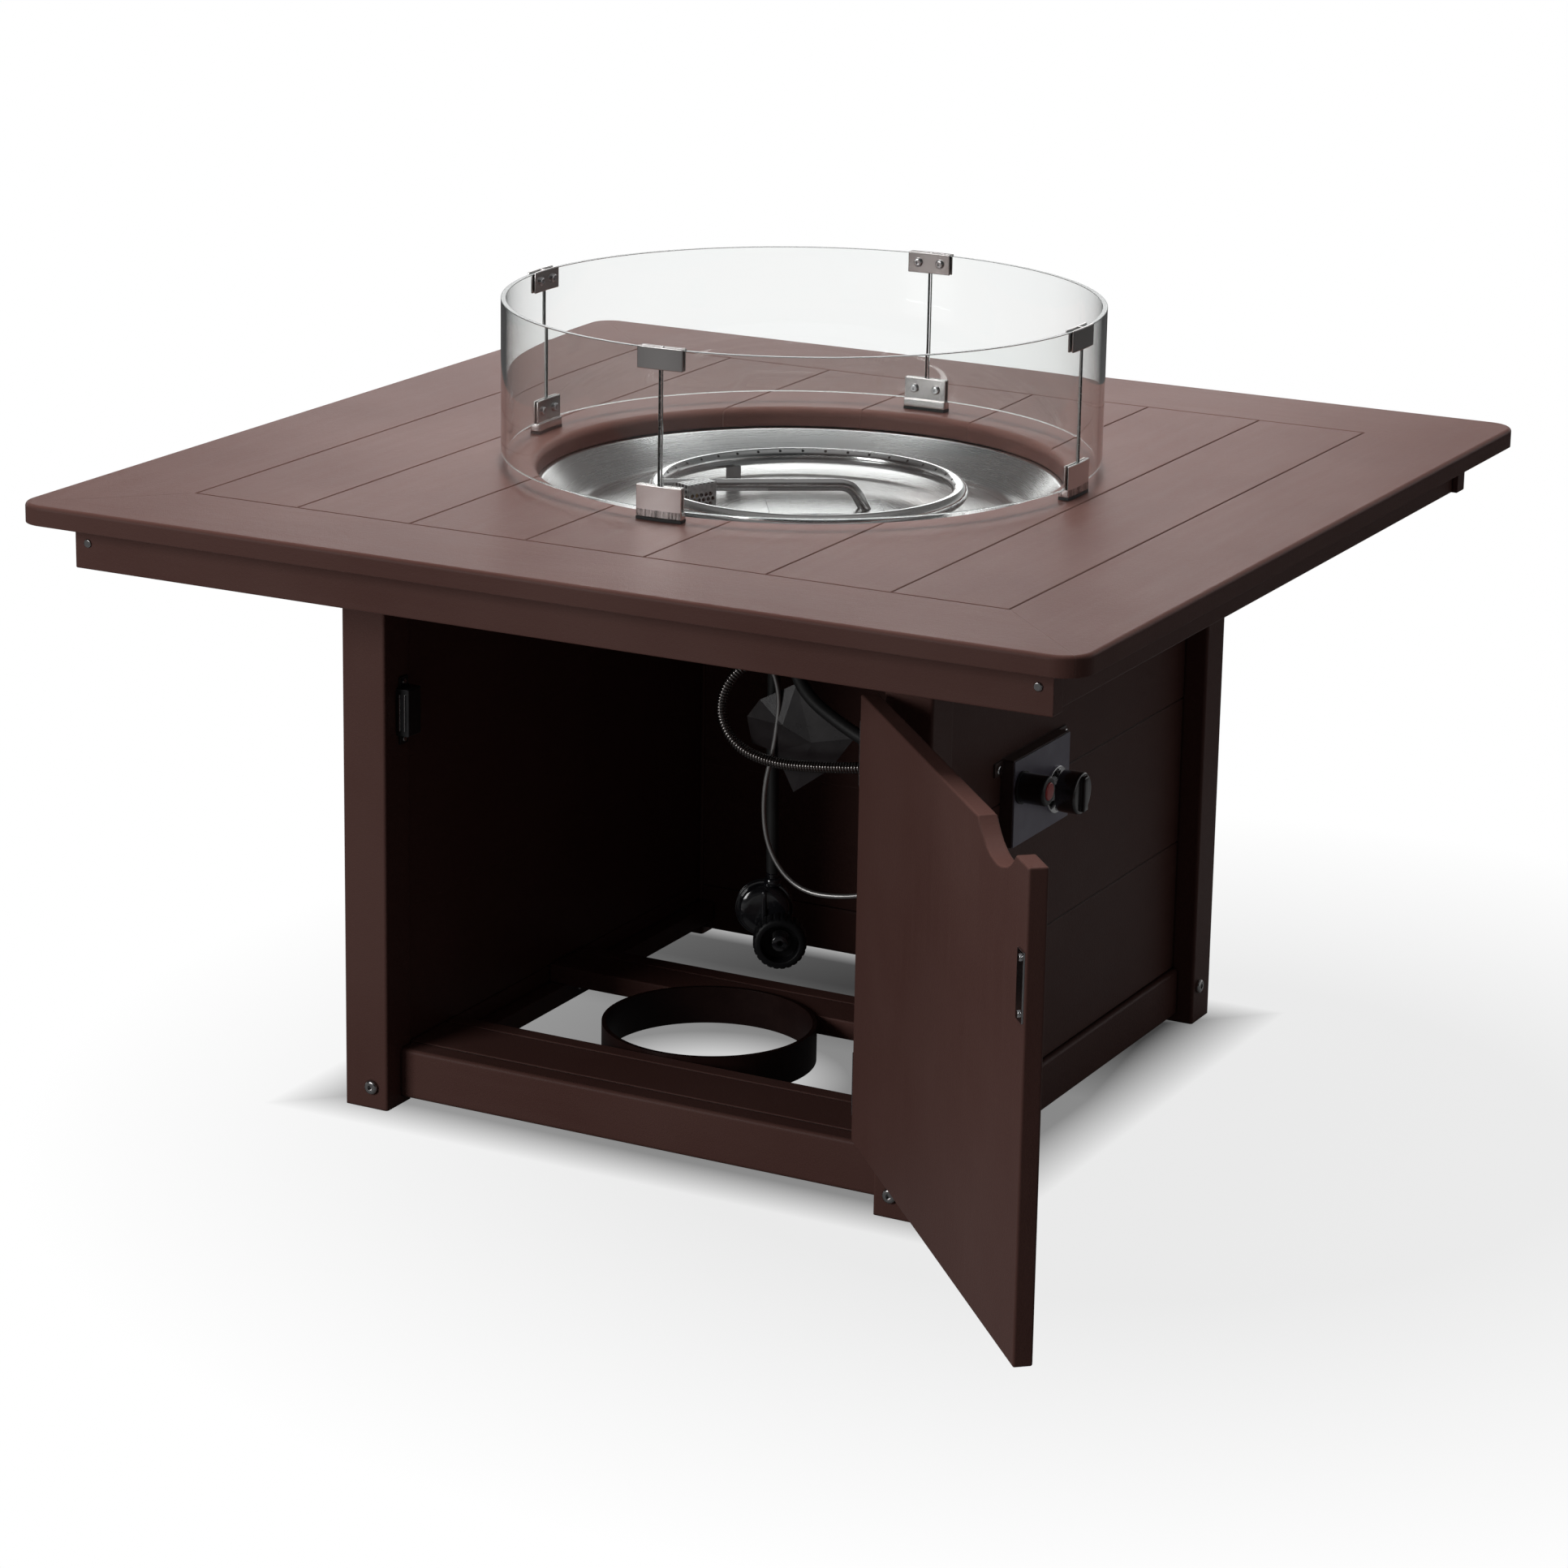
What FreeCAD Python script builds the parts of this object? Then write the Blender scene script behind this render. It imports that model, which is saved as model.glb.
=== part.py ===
"""Square fire pit table: board top with a round burner opening, a glass wind guard,
and a cabinet with a side-hung door that holds a gas cylinder.

The frame has its origin on the floor under the middle of the table top. +X runs to the
right along the front edge, -Y points to the front where the door is, and +Z is up.
Sizes are in millimetres. The door is drawn open, as it stands in the picture.
"""

import FreeCAD, Part
import math
import os

Vec = FreeCAD.Vector
X_AXIS = Vec(1, 0, 0)
Y_AXIS = Vec(0, 1, 0)
Z_AXIS = Vec(0, 0, 1)
ORIGIN = Vec(0, 0, 0)

# Fits
RUNNING_CLEARANCE = 0.08
EASY_CLEARANCE = 0.4

# Boards
BOARD = 19.0
SEAM_CHAMFER = 1.3

# Table top
TOP_SIDE = 1080.0
TOP_HEIGHT = 611.0
TOP_CORNER_RADIUS = 28.0
TOP_EDGE_ROUND = 4.0
TOP_FRAME_WIDTH = 121.0
MIDDLE_PLANK_WIDTH = 122.5
MIDDLE_PLANK_COUNT = 5
OPENING_RADIUS = 256.0
OPENING_ROUND = 8.0
BATTEN_WIDTH = 66.0
BATTEN_GAP = 5.0

# Aprons
APRON_HEIGHT = 46.0
APRON_FRONT_INSET = 40.0
APRON_SIDE_INSET = 47.0
APRON_LAP = 6.0
APRON_SCREW_DROP = 21.0
APRON_SCREW_INSET = 14.0
SCREW_HEAD_RADIUS = 4.0
SCREW_HEAD_HEIGHT = 1.6
SCREW_SHANK_RADIUS = 1.8
SCREW_SHANK_LENGTH = 16.0

# Cabinet posts and rails
CABINET_WIDTH = 622.0
CABINET_DEPTH = 678.0
POST_WIDTH = 48.0
POST_DEPTH = 44.0
POST_EDGE_ROUND = 3.0
RAIL_LIFT = 7.0
RAIL_HEIGHT = 50.0
RAIL_THICKNESS = 25.0
RAIL_EDGE_ROUND = 4.0
FRONT_RAIL_SETBACK = 25.0
SIDE_RAIL_SETBACK = 18.0
UPPER_RAIL_BOTTOM = 502.0
POST_BOLT_HEIGHT = 30.0
BOLT_HEAD_RADIUS = 7.0
BOLT_HEAD_HEIGHT = 4.0
BOLT_SHANK_RADIUS = 4.0
BOLT_SOCKET_RADIUS = 2.6
BOLT_SOCKET_DEPTH = 2.4
BOLT_GRIP = 30.0

# Cabinet walls
WALL_SEAMS = (193.0, 345.0, 497.0)

# Cabinet floor
FLOOR_TOP = 57.0
FLOOR_SLIT = 1.5
FRONT_FLOOR_BACK = -224.5
FLOOR_STRIP_WIDTH = 18.5
MIDDLE_FLOOR_FRONT = -22.0
MIDDLE_FLOOR_BACK = 27.0
REAR_STRIP_WIDTH = 21.5
CLEAT_SIDE = 19.0
CLEAT_SCREW_Y = 6.0

# Ring that holds the foot of the gas cylinder
RING_RADIUS = 106.5
RING_WALL = 4.5
RING_BOTTOM = 22.0
RING_TOP = 60.0
RING_X = -40.0
RING_NOTCH_CLEARANCE = 0.2

# Door
DOOR_SIDE_GAP = 3.0
DOOR_BOTTOM = 75.0
DOOR_TOP = 497.0
DOOR_THICKNESS = 17.0
DOOR_EDGE_ROUND = 2.0
DOOR_OPEN_ANGLE = 131.5
PULL_RADIUS = 77.0
PULL_FROM_HINGE = 430.0
PULL_CENTRE_RISE = 54.0
PULL_EDGE_ROUND = 3.0

# Hinges
PIN_FORWARD = 3.0
PIN_INBOARD = 1.0
HINGE_HEIGHTS = (130.0, 442.0)
HINGE_LENGTH = 60.0
HINGE_KNUCKLES = 5
KNUCKLE_RADIUS = 2.8
KNUCKLE_GAP = 0.4
PIN_RADIUS = 1.4
PIN_HEAD_RADIUS = 2.4
PIN_HEAD_HEIGHT = 1.0
LEAF_THICKNESS = 1.1
LEAF_DEPTH = 17.0

# Door catch
STRIKE_WIDTH = 17.0
STRIKE_HEIGHT = 59.0
STRIKE_THICKNESS = 1.5
STRIKE_EDGE_INSET = 2.0
CATCH_HEIGHT_CENTRE = 397.0
CATCH_BODY_WIDTH = 14.0
CATCH_BODY_DEPTH = 22.0
CATCH_BODY_HEIGHT = 46.0
CATCH_TAB_HEIGHT = 66.0
CATCH_TAB_THICKNESS = 2.0
CATCH_CLOSED_GAP = 0.5
POLE_THICKNESS = 1.5
POLE_HEIGHT = 36.0
POLE_STICKOUT = 1.5
SMALL_HEAD_RADIUS = 3.2
SMALL_HEAD_HEIGHT = 1.4
SMALL_SHANK_RADIUS = 1.5
SMALL_SHANK_LENGTH = 10.0

# Control box on the right-hand wall
CONTROL_FRONT = -139.0
CONTROL_WIDTH = 125.0
CONTROL_BOTTOM = 303.0
CONTROL_HEIGHT = 85.0
CONTROL_DEPTH = 12.5
CONTROL_SKIN = 2.0
CONTROL_ROUND = 2.0
PLATE_MARGIN = 1.0
PLATE_THICKNESS = 1.5
WALL_WINDOW_MARGIN = 5.0
TAB_LENGTH = 17.0
TAB_HEIGHT = 13.0
TAB_THICKNESS = 2.0
TAB_HEIGHT_CENTRE = 381.0
CONTROL_HEAD_RADIUS = 4.5

# Igniter
IGNITER_Y = -122.5
IGNITER_Z = 359.5
IGNITER_FLANGE_RADIUS = 16.0
IGNITER_FLANGE_THICKNESS = 2.5
IGNITER_BODY_RADIUS = 14.5
IGNITER_BODY_LENGTH = 26.0
IGNITER_BARREL_RADIUS = 10.0
IGNITER_BARREL_LENGTH = 34.0
BUTTON_RADIUS = 9.0
BUTTON_STICKOUT = 1.2
BUTTON_LENGTH = 17.0
BUTTON_WELL_SPARE = 5.0

# Gas valve and knob
KNOB_Y = -46.0
KNOB_Z = 338.0
KNOB_RADIUS = 20.5
KNOB_LENGTH = 17.0
KNOB_FACE_ROUND = 3.0
KNOB_BACK_GAP = 12.0
GRIP_WIDTH = 9.0
GRIP_HEIGHT = 4.0
KNOB_SKIRT_LENGTH = 3.4
KNOB_SKIRT_WALL = 3.0
STEM_RADIUS = 4.5
STEM_TIP_INSIDE = 8.0
BEZEL_RADIUS = 23.0
BEZEL_THICKNESS = 3.0
BEZEL_SCREW_OFFSET = 18.0
BEZEL_SCREW_RADIUS = 2.8
SLEEVE_RADIUS = 12.0
SLEEVE_LENGTH = 4.0
NECK_RADIUS = 10.5
FLANGE_THICKNESS = 2.0
VALVE_WIDTH = 46.0
VALVE_HEIGHT = 32.0
VALVE_THICKNESS = 30.0
NIPPLE_LENGTH = 12.0
NIPPLE_RADIUS = 5.0
FITTING_RADIUS = 8.5
FITTING_LENGTH = 11.0

# Burner pan
PAN_RIM_RADIUS = 266.0
PAN_MOUTH_RADIUS = 252.0
PAN_FLOOR_RADIUS = 215.0
PAN_FLOOR_TOP = 563.0
PAN_SHEET = 1.5
PAN_DISH_RADIUS = 160.0
PAN_DISH_DROP = 1.2
PAN_SCREW_COUNT = 4
PAN_SCREW_BEARING = 20.0

# Burner
BURNER_X = 9.0
BURNER_Y = -1.0
BURNER_RADIUS = 147.0
BURNER_TUBE_RADIUS = 8.0
BURNER_WALL = 1.2
BURNER_HEIGHT = 586.5
PORT_COUNT = 39
FIRST_PORT_BEARING = 9.0
PORT_RADIUS = 1.2
PORT_ANGLE = 48.0
FEED_RADIUS = 6.0
FEED_WALL = 1.2
FEED_HEIGHT = 586.0
FEED_DIRECTION = (0.8486, 0.5291)
FEED_BEND_X = 27.1
FEED_BEND_Y = 30.4
FEED_BEND_RADIUS = 20.0
FEED_BEND_ANGLE = 60.0
FEED_TAIL = 32.0
COVER_FRONT_LEFT = (-18.7, -27.4)
COVER_BACK_LEFT = (-37.9, 3.3)
COVER_LENGTH = 113.0
COVER_WIDTH = 60.0
COVER_THICKNESS = 1.0
BRACKET_BEARING = 148.0
BRACKET_WIDTH = 16.0
BRACKET_SHEET = 2.0
BRACKET_FOOT = 14.0

# Pilot and its shield
SHIELD_FRONT_LEFT = (-72.1, -93.7)
SHIELD_BEARING = 67.7
SHIELD_LENGTH = 34.0
SHIELD_DEPTH = 26.0
SHIELD_BOTTOM = 572.0
SHIELD_TOP = 597.0
SHIELD_SHEET = 1.0
SHIELD_FRONT_ROUND = 1.5
SHIELD_BACK_ROUND = 9.0
SHIELD_HOLE_RADIUS = 2.1
SHIELD_HOLE_PITCH = 5.6
PILOT_RADIUS = 4.0
PILOT_TOP = 588.0
PILOT_BOTTOM = 545.0
PILOT_NUT_RADIUS = 6.5
PILOT_NUT_LENGTH = 7.0

# Hoses
ARMOUR_CREST_RADIUS = 5.6
ARMOUR_ROOT_RADIUS = 4.9
ARMOUR_BORE_RADIUS = 3.6
ARMOUR_RIBS = 196
ARMOUR_POINTS = (
    (40.0, 38.0, 420.0),
    (-4.0, -16.0, 428.0),
    (-41.0, -51.0, 411.0),
    (-57.0, -60.0, 370.0),
    (-37.0, -60.0, 333.0),
    (6.0, -60.0, 322.0),
    (58.0, -60.0, 326.0),
    (106.0, -57.0, 332.0),
    (150.0, -49.0, 337.0),
    (192.0, -41.0, 334.0),
)
SUPPLY_RADIUS = 6.5
SUPPLY_BORE_RADIUS = 3.5
SUPPLY_POINTS = (
    (-38.0, 23.0, 300.0),
    (-36.0, 20.0, 395.0),
    (-36.0, 20.0, 450.0),
    (-8.0, -16.0, 476.0),
    (20.0, -50.0, 450.0),
    (27.0, -51.0, 398.0),
    (90.0, -51.0, 361.0),
    (140.0, -57.0, 348.0),
    (190.0, -60.0, 344.0),
)
PILOT_TUBE_RADIUS = 2.4
PILOT_TUBE_BORE_RADIUS = 1.5
PILOT_TUBE_DROP = 38.0
PILOT_TUBE_POINTS = (
    (-66.0, -66.0, 478.0),
    (-24.0, -56.0, 452.0),
    (8.0, -49.0, 402.0),
    (3.0, -49.0, 342.0),
    (-11.0, -49.0, 286.0),
    (-5.0, -49.0, 229.0),
    (30.0, -49.0, 192.0),
    (85.0, -49.0, 194.0),
    (140.0, -52.0, 214.0),
    (194.0, -58.0, 242.0),
    (238.0, -62.0, 262.0),
    (252.0, -62.0, 290.0),
)

# Regulator
REGULATOR_AT = (-43.0, 20.0, 144.0)
REGULATOR_TURN = 27.4
REGULATOR_RADIUS = 29.0
REGULATOR_DEPTH = 20.0
REGULATOR_RIM = 3.0
REGULATOR_RIM_GAP = 3.0
REGULATOR_CORE_RADIUS = 26.0
REGULATOR_RIB_WIDTH = 5.0
REGULATOR_RIB_DEPTH = 3.0
REGULATOR_RIB_HEIGHT = 44.0
OUTLET_SIDE_STEP = 8.0
OUTLET_RADIUS = 5.0
OUTLET_TOP = 38.0
INLET_SIDE_STEP = 16.5
INLET_DROP = 23.5
INLET_BOSS_RADIUS = 15.0
INLET_BOSS_LENGTH = 12.0
INLET_STUB_RADIUS = 8.0
INLET_STUB_LENGTH = 24.0
INLET_COLLAR_RADIUS = 11.0
INLET_COLLAR_LENGTH = 2.5
INLET_BORE_RADIUS = 3.0
HAND_NUT_RADIUS = 27.0
HAND_NUT_LENGTH = 26.0
HAND_NUT_BACK_WALL = 9.0
HAND_NUT_CAVITY_RADIUS = 19.0
HAND_NUT_FLUTES = 24
HAND_NUT_FLUTE_RADIUS = 1.2

# Tag on the supply hose
TAG_THICKNESS = 1.0
TAG_OUTLINE = (
    (-31.0, 361.0),
    (-17.0, 380.0),
    (23.0, 402.0),
    (87.0, 356.0),
    (60.0, 320.0),
    (19.0, 290.0),
    (1.0, 330.0),
    (-26.0, 334.0),
)

# Glass wind guard
GUARD_RADIUS = 291.0
GUARD_TURN = 1.0
GLASS_THICKNESS = 5.0
GLASS_TOP = 771.5
GLASS_JOINT_GAP = 2.5
PAD_THICKNESS = 2.8
CLIP_SHEET = 2.0
CLIP_WIDTH = 47.0
CLIP_FOOT_HEIGHT = 8.0
CLIP_FOOT_STEP = 2.0
UPPER_CLIP_TOP = 773.0
UPPER_CLIP_HEIGHT = 21.0
LOWER_CLIP_HEIGHT = 30.2
LOWER_SCREW_RISE = 19.0
CLIP_SCREW_SPACING = 24.0
CLIP_SCREW_HEAD_RADIUS = 4.5
CLIP_SCREW_HEAD_HEIGHT = 2.6
CLIP_SCREW_RADIUS = 2.2
CLIP_SOCKET_RADIUS = 1.7
CLIP_SOCKET_DEPTH = 1.6

# Places that follow from the sizes above
HALF_TOP = TOP_SIDE / 2
TOP_UNDERSIDE = TOP_HEIGHT - BOARD
FIELD_HALF = HALF_TOP - TOP_FRAME_WIDTH
MIDDLE_FIELD_HALF = MIDDLE_PLANK_COUNT * MIDDLE_PLANK_WIDTH / 2
APRON_FRONT = HALF_TOP - APRON_FRONT_INSET
APRON_SIDE = HALF_TOP - APRON_SIDE_INSET
APRON_BOTTOM = TOP_UNDERSIDE - APRON_HEIGHT
POST_OUT_X = CABINET_WIDTH / 2
POST_OUT_Y = CABINET_DEPTH / 2
POST_IN_X = POST_OUT_X - POST_WIDTH
POST_IN_Y = POST_OUT_Y - POST_DEPTH
RAIL_TOP = RAIL_LIFT + RAIL_HEIGHT
FRONT_RAIL_FACE = -(POST_OUT_Y - FRONT_RAIL_SETBACK)
FRONT_RAIL_BACK = FRONT_RAIL_FACE + RAIL_THICKNESS
SIDE_RAIL_OUT = POST_OUT_X - SIDE_RAIL_SETBACK
INSIDE_X = SIDE_RAIL_OUT - RAIL_THICKNESS
REAR_RAIL_OUT = POST_OUT_Y - SIDE_RAIL_SETBACK
INSIDE_REAR_Y = REAR_RAIL_OUT - RAIL_THICKNESS
WALL_OUT_X = INSIDE_X + BOARD
RING_Y = FRONT_FLOOR_BACK + FLOOR_SLIT + FLOOR_STRIP_WIDTH + RING_RADIUS
DOOR_HINGE_X = POST_IN_X - DOOR_SIDE_GAP
DOOR_FREE_X = -DOOR_HINGE_X
DOOR_FACE = -POST_OUT_Y
DOOR_BACK = DOOR_FACE + DOOR_THICKNESS
PIN_X = POST_IN_X - PIN_INBOARD
PIN_Y = DOOR_FACE - PIN_FORWARD
CONTROL_BACK = CONTROL_FRONT + CONTROL_WIDTH
CONTROL_TOP = CONTROL_BOTTOM + CONTROL_HEIGHT
CONTROL_OUT = WALL_OUT_X + CONTROL_DEPTH
PLATE_OUT = CONTROL_OUT + PLATE_THICKNESS
GUARD_INNER = GUARD_RADIUS - GLASS_THICKNESS
CLIP_BOTTOM = TOP_HEIGHT + PAD_THICKNESS
GLASS_BOTTOM = CLIP_BOTTOM + CLIP_FOOT_HEIGHT
GUARD_JOINTS = tuple(90.0 * quarter + GUARD_TURN for quarter in range(4))
BURNER_AXIS = Vec(BURNER_X, BURNER_Y, 0)


def block(x0, x1, y0, y1, z0, z1):
    """Return a box between two corners."""
    return Part.makeBox(x1 - x0, y1 - y0, z1 - z0, Vec(x0, y0, z0))


def rod(radius, start, direction, length):
    """Return a solid cylinder from a start point along a direction."""
    return Part.makeCylinder(radius, length, start, direction)


def pipe(outer, inner, start, direction, length):
    """Return a cylinder with a bore through it."""
    return rod(outer, start, direction, length).cut(rod(inner, start, direction, length))


def group(shapes):
    """Return separate solids as one compound."""
    return Part.makeCompound(list(shapes))


def prism(points, z0, z1):
    """Return an upright prism over a plan outline."""
    corners = [Vec(x, y, z0) for x, y in points]
    face = Part.Face(Part.makePolygon(corners + corners[:1]))
    return face.extrude(Vec(0, 0, z1 - z0))


def turned(profile):
    """Return the solid that a closed (radius, height) outline makes about the Z axis."""
    corners = [Vec(r, 0, z) for r, z in profile]
    face = Part.Face(Part.makePolygon(corners + corners[:1]))
    return face.revolve(ORIGIN, Z_AXIS, 360)


def edges_where(shape, test):
    """Return the edges whose two end points both pass a test."""
    return [edge for edge in shape.Edges if edge.Vertexes and all(test(v.Point) for v in edge.Vertexes)]


def upright_edges(shape):
    """Return the straight edges that run along Z."""
    found = []
    for edge in shape.Edges:
        ends = edge.Vertexes
        if len(ends) == 2 and ends[0].Point.sub(ends[1].Point).cross(Z_AXIS).Length < 1e-6:
            found.append(edge)
    return found


def near(value, target):
    """Tell whether two lengths agree."""
    return abs(value - target) < 1e-4


def button_head(at, direction, radius, height, shank_radius, shank_length, socket_radius=0, socket_depth=0):
    """Return a round-headed screw whose head sits on a face and whose shank goes into it."""
    out = Vec(direction)
    screw = rod(radius, at, out, height)
    rim = [e for e in screw.Edges if e.Closed and (e.CenterOfMass - at).dot(out) > height / 2]
    screw = screw.makeFillet(min(height, radius) * 0.6, rim)
    shank = rod(shank_radius, at - out * shank_length, out, shank_length)
    screw = screw.fuse(shank)
    if socket_radius:
        screw = screw.cut(rod(socket_radius, at + out * (height - socket_depth), out, socket_depth))
    return screw


def hex_bar(flat_radius, start, direction, length):
    """Return a six-sided bar, measured to its corners."""
    out = Vec(direction)
    out.normalize()
    turn = FreeCAD.Rotation(Z_AXIS, out)
    corners = []
    for step in range(7):
        angle = math.radians(60 * step)
        corners.append(start + turn.multVec(Vec(flat_radius * math.cos(angle), flat_radius * math.sin(angle), 0)))
    return Part.Face(Part.makePolygon(corners)).extrude(out * length)


def route(points, name, diameter):
    """Return the wire of straight runs and tangent arcs through a cord's points."""
    corners = [Vec(*p) for p in points]
    pieces = []
    here = corners[0]
    radii = []
    for before, corner, after in zip(corners, corners[1:], corners[2:]):
        back = before - corner
        ahead = after - corner
        shorter = min(back.Length, ahead.Length)
        back.normalize()
        ahead.normalize()
        half_turn = (math.pi - back.getAngle(ahead)) / 2
        tangent = 0.45 * shorter
        radius = tangent / math.tan(half_turn)
        radii.append(radius)
        start = corner + back * tangent
        end = corner + ahead * tangent
        middle = back + ahead
        middle.normalize()
        bulge = corner + middle * (radius / math.cos(half_turn) - radius)
        pieces.append(Part.LineSegment(here, start).toShape())
        pieces.append(Part.Arc(start, bulge, end).toShape())
        here = end
    pieces.append(Part.LineSegment(here, corners[-1]).toShape())
    wire = Part.Wire(pieces)
    tightest = min(radii)
    print(f"{name}: length {wire.Length:.1f}, tightest radius {tightest:.1f}, {tightest / diameter:.1f} diameters")
    return wire


def sweep(wire, radius):
    """Return a round bar along a wire."""
    first = wire.Edges[0]
    start = first.valueAt(first.FirstParameter)
    direction = first.tangentAt(first.FirstParameter)
    section = Part.Wire([Part.makeCircle(radius, start, direction)])
    return wire.makePipeShell([section], True, False)


def plain_hose(points, name, radius, bore):
    """Return a smooth tube along a route."""
    wire = route(points, name, 2 * radius)
    solid = sweep(wire, radius)
    expected = math.pi * radius ** 2 * wire.Length
    print(f"{name}: volume over section by length {solid.Volume / expected:.4f}")
    return solid.cut(sweep(wire, bore))


def point_and_direction(wire, distance):
    """Return the place and heading a given distance along a wire."""
    left = distance
    for edge in wire.OrderedEdges:
        if left <= edge.Length + 1e-9:
            parameter = edge.getParameterByLength(min(left, edge.Length))
            return edge.valueAt(parameter), edge.tangentAt(parameter)
        left -= edge.Length
    last = wire.OrderedEdges[-1]
    return last.valueAt(last.LastParameter), last.tangentAt(last.LastParameter)


def steady_circle(place, heading, radius, side):
    """Return a circle across a heading whose start keeps to one side."""
    across = side - heading * side.dot(heading)
    across.normalize()
    circle = Part.makeCircle(radius)
    circle.Placement = FreeCAD.Placement(place, FreeCAD.Rotation(across, heading.cross(across), heading, "ZXY"))
    return Part.Wire([circle]), across


def ribbed_hose(points, name):
    """Return a ribbed metal hose with plain ends, its ribs counted and its bore open."""
    wire = route(points, name, 2 * ARMOUR_CREST_RADIUS)
    plain = 2 * ARMOUR_CREST_RADIUS
    pitch = (wire.Length - 2 * plain) / ARMOUR_RIBS
    stations = [(0.0, ARMOUR_ROOT_RADIUS), (plain, ARMOUR_ROOT_RADIUS)]
    shape_of_rib = ((0.20, ARMOUR_ROOT_RADIUS), (0.38, ARMOUR_CREST_RADIUS),
                    (0.82, ARMOUR_CREST_RADIUS), (1.0, ARMOUR_ROOT_RADIUS))
    for rib in range(ARMOUR_RIBS):
        for share, radius in shape_of_rib:
            stations.append((plain + (rib + share) * pitch, radius))
    stations.append((wire.Length, ARMOUR_ROOT_RADIUS))
    _, heading = point_and_direction(wire, 0)
    side = heading.cross(Y_AXIS)
    outer = []
    inner = []
    for distance, radius in stations:
        place, heading = point_and_direction(wire, distance)
        circle, side = steady_circle(place, heading, radius, side)
        outer.append(circle)
        circle, _ = steady_circle(place, heading, ARMOUR_BORE_RADIUS, side)
        inner.append(circle)
    print(f"{name}: {ARMOUR_RIBS} ribs at a pitch of {pitch:.2f}")
    solid = Part.makeLoft(outer, True, True)
    return solid.cut(Part.makeLoft(inner, True, True))


def save(name, shape):
    """Write one sub-part."""
    if not shape.isValid():
        print(f"{name}: not valid")
    shape.exportStep(f"parts/{name}.step")


def make_top():
    """Build the mitred frame, the planks round the opening and the battens below."""
    slab = block(-HALF_TOP, HALF_TOP, -HALF_TOP, HALF_TOP, TOP_UNDERSIDE, TOP_HEIGHT)
    slab = slab.makeFillet(TOP_CORNER_RADIUS, upright_edges(slab))
    upper = edges_where(slab, lambda p: near(p.z, TOP_HEIGHT))
    slab = slab.makeFillet(TOP_EDGE_ROUND, upper)
    reach = HALF_TOP + 1
    inner_reach = FIELD_HALF
    mitre = [(-reach, -reach), (reach, -reach), (inner_reach, -inner_reach), (-inner_reach, -inner_reach)]
    for name, turn in (("front", 0), ("right", 90), ("back", 180), ("left", 270)):
        cutter = prism(mitre, TOP_UNDERSIDE - 1, TOP_HEIGHT + 1)
        cutter.rotate(ORIGIN, Z_AXIS, turn)
        board = slab.common(cutter)
        inward = Vec(math.sin(math.radians(turn)), -math.cos(math.radians(turn)), 0)
        seam = edges_where(board, lambda p: near(p.z, TOP_HEIGHT) and near(p.dot(inward), FIELD_HALF))
        board = board.makeChamfer(SEAM_CHAMFER, seam)
        save(f"top_frame_{name}", board)

    bore = turned([
        (0, TOP_UNDERSIDE - 1), (OPENING_RADIUS, TOP_UNDERSIDE - 1),
        (OPENING_RADIUS, TOP_HEIGHT - OPENING_ROUND)]
        + [(OPENING_RADIUS + OPENING_ROUND * (1 - math.cos(math.radians(a))),
            TOP_HEIGHT - OPENING_ROUND * (1 - math.sin(math.radians(a)))) for a in (15, 30, 45, 60, 75, 90)]
        + [(OPENING_RADIUS + OPENING_ROUND, TOP_HEIGHT + 1), (0, TOP_HEIGHT + 1)])

    def plank(x0, x1, y0, y1):
        body = block(x0, x1, y0, y1, TOP_UNDERSIDE, TOP_HEIGHT)
        return body.makeChamfer(SEAM_CHAMFER, edges_where(body, lambda p: near(p.z, TOP_HEIGHT)))

    edge_planks = [plank(-FIELD_HALF, -MIDDLE_FIELD_HALF, -FIELD_HALF, FIELD_HALF),
                   plank(MIDDLE_FIELD_HALF, FIELD_HALF, -FIELD_HALF, FIELD_HALF)]
    save("top_planks_edge", group(edge_planks))
    bitten = []
    short = []
    for index in range(MIDDLE_PLANK_COUNT):
        x0 = -MIDDLE_FIELD_HALF + index * MIDDLE_PLANK_WIDTH
        solids = plank(x0, x0 + MIDDLE_PLANK_WIDTH, -FIELD_HALF, FIELD_HALF).cut(bore).Solids
        if len(solids) == 1:
            bitten += solids
        else:
            short += solids
    screws = pan_screws()
    save("top_planks_bitten", group([body.cut(screws) for body in bitten]))
    save("top_planks_short", group([body.cut(screws) for body in short]))

    low = TOP_UNDERSIDE - BOARD
    far = APRON_SIDE - BOARD - BATTEN_GAP
    inner = far - BATTEN_WIDTH
    battens = [block(-far, far, -far, -inner, low, TOP_UNDERSIDE),
               block(-far, far, inner, far, low, TOP_UNDERSIDE),
               block(-far, -inner, -inner, inner, low, TOP_UNDERSIDE),
               block(inner, far, -inner, inner, low, TOP_UNDERSIDE)]
    save("top_battens", group(battens))


def make_aprons():
    """Build the four aprons and the screws near the ends of the front and back ones."""
    end = APRON_SIDE + APRON_LAP
    low = APRON_BOTTOM

    def apron(x0, x1, y0, y1):
        body = block(x0, x1, y0, y1, low, TOP_UNDERSIDE)
        return body.makeFillet(POST_EDGE_ROUND / 2, edges_where(body, lambda p: near(p.z, low)))

    side_y = APRON_FRONT - BOARD
    screws = apron_screws()
    faces = [apron(-end, end, -APRON_FRONT, -side_y).cut(screws),
             apron(-end, end, side_y, APRON_FRONT).cut(screws)]
    sides = [apron(-APRON_SIDE, -APRON_SIDE + BOARD, -side_y, side_y),
             apron(APRON_SIDE - BOARD, APRON_SIDE, -side_y, side_y)]
    save("aprons_front_back", group(faces))
    save("aprons_side", group(sides))


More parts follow.
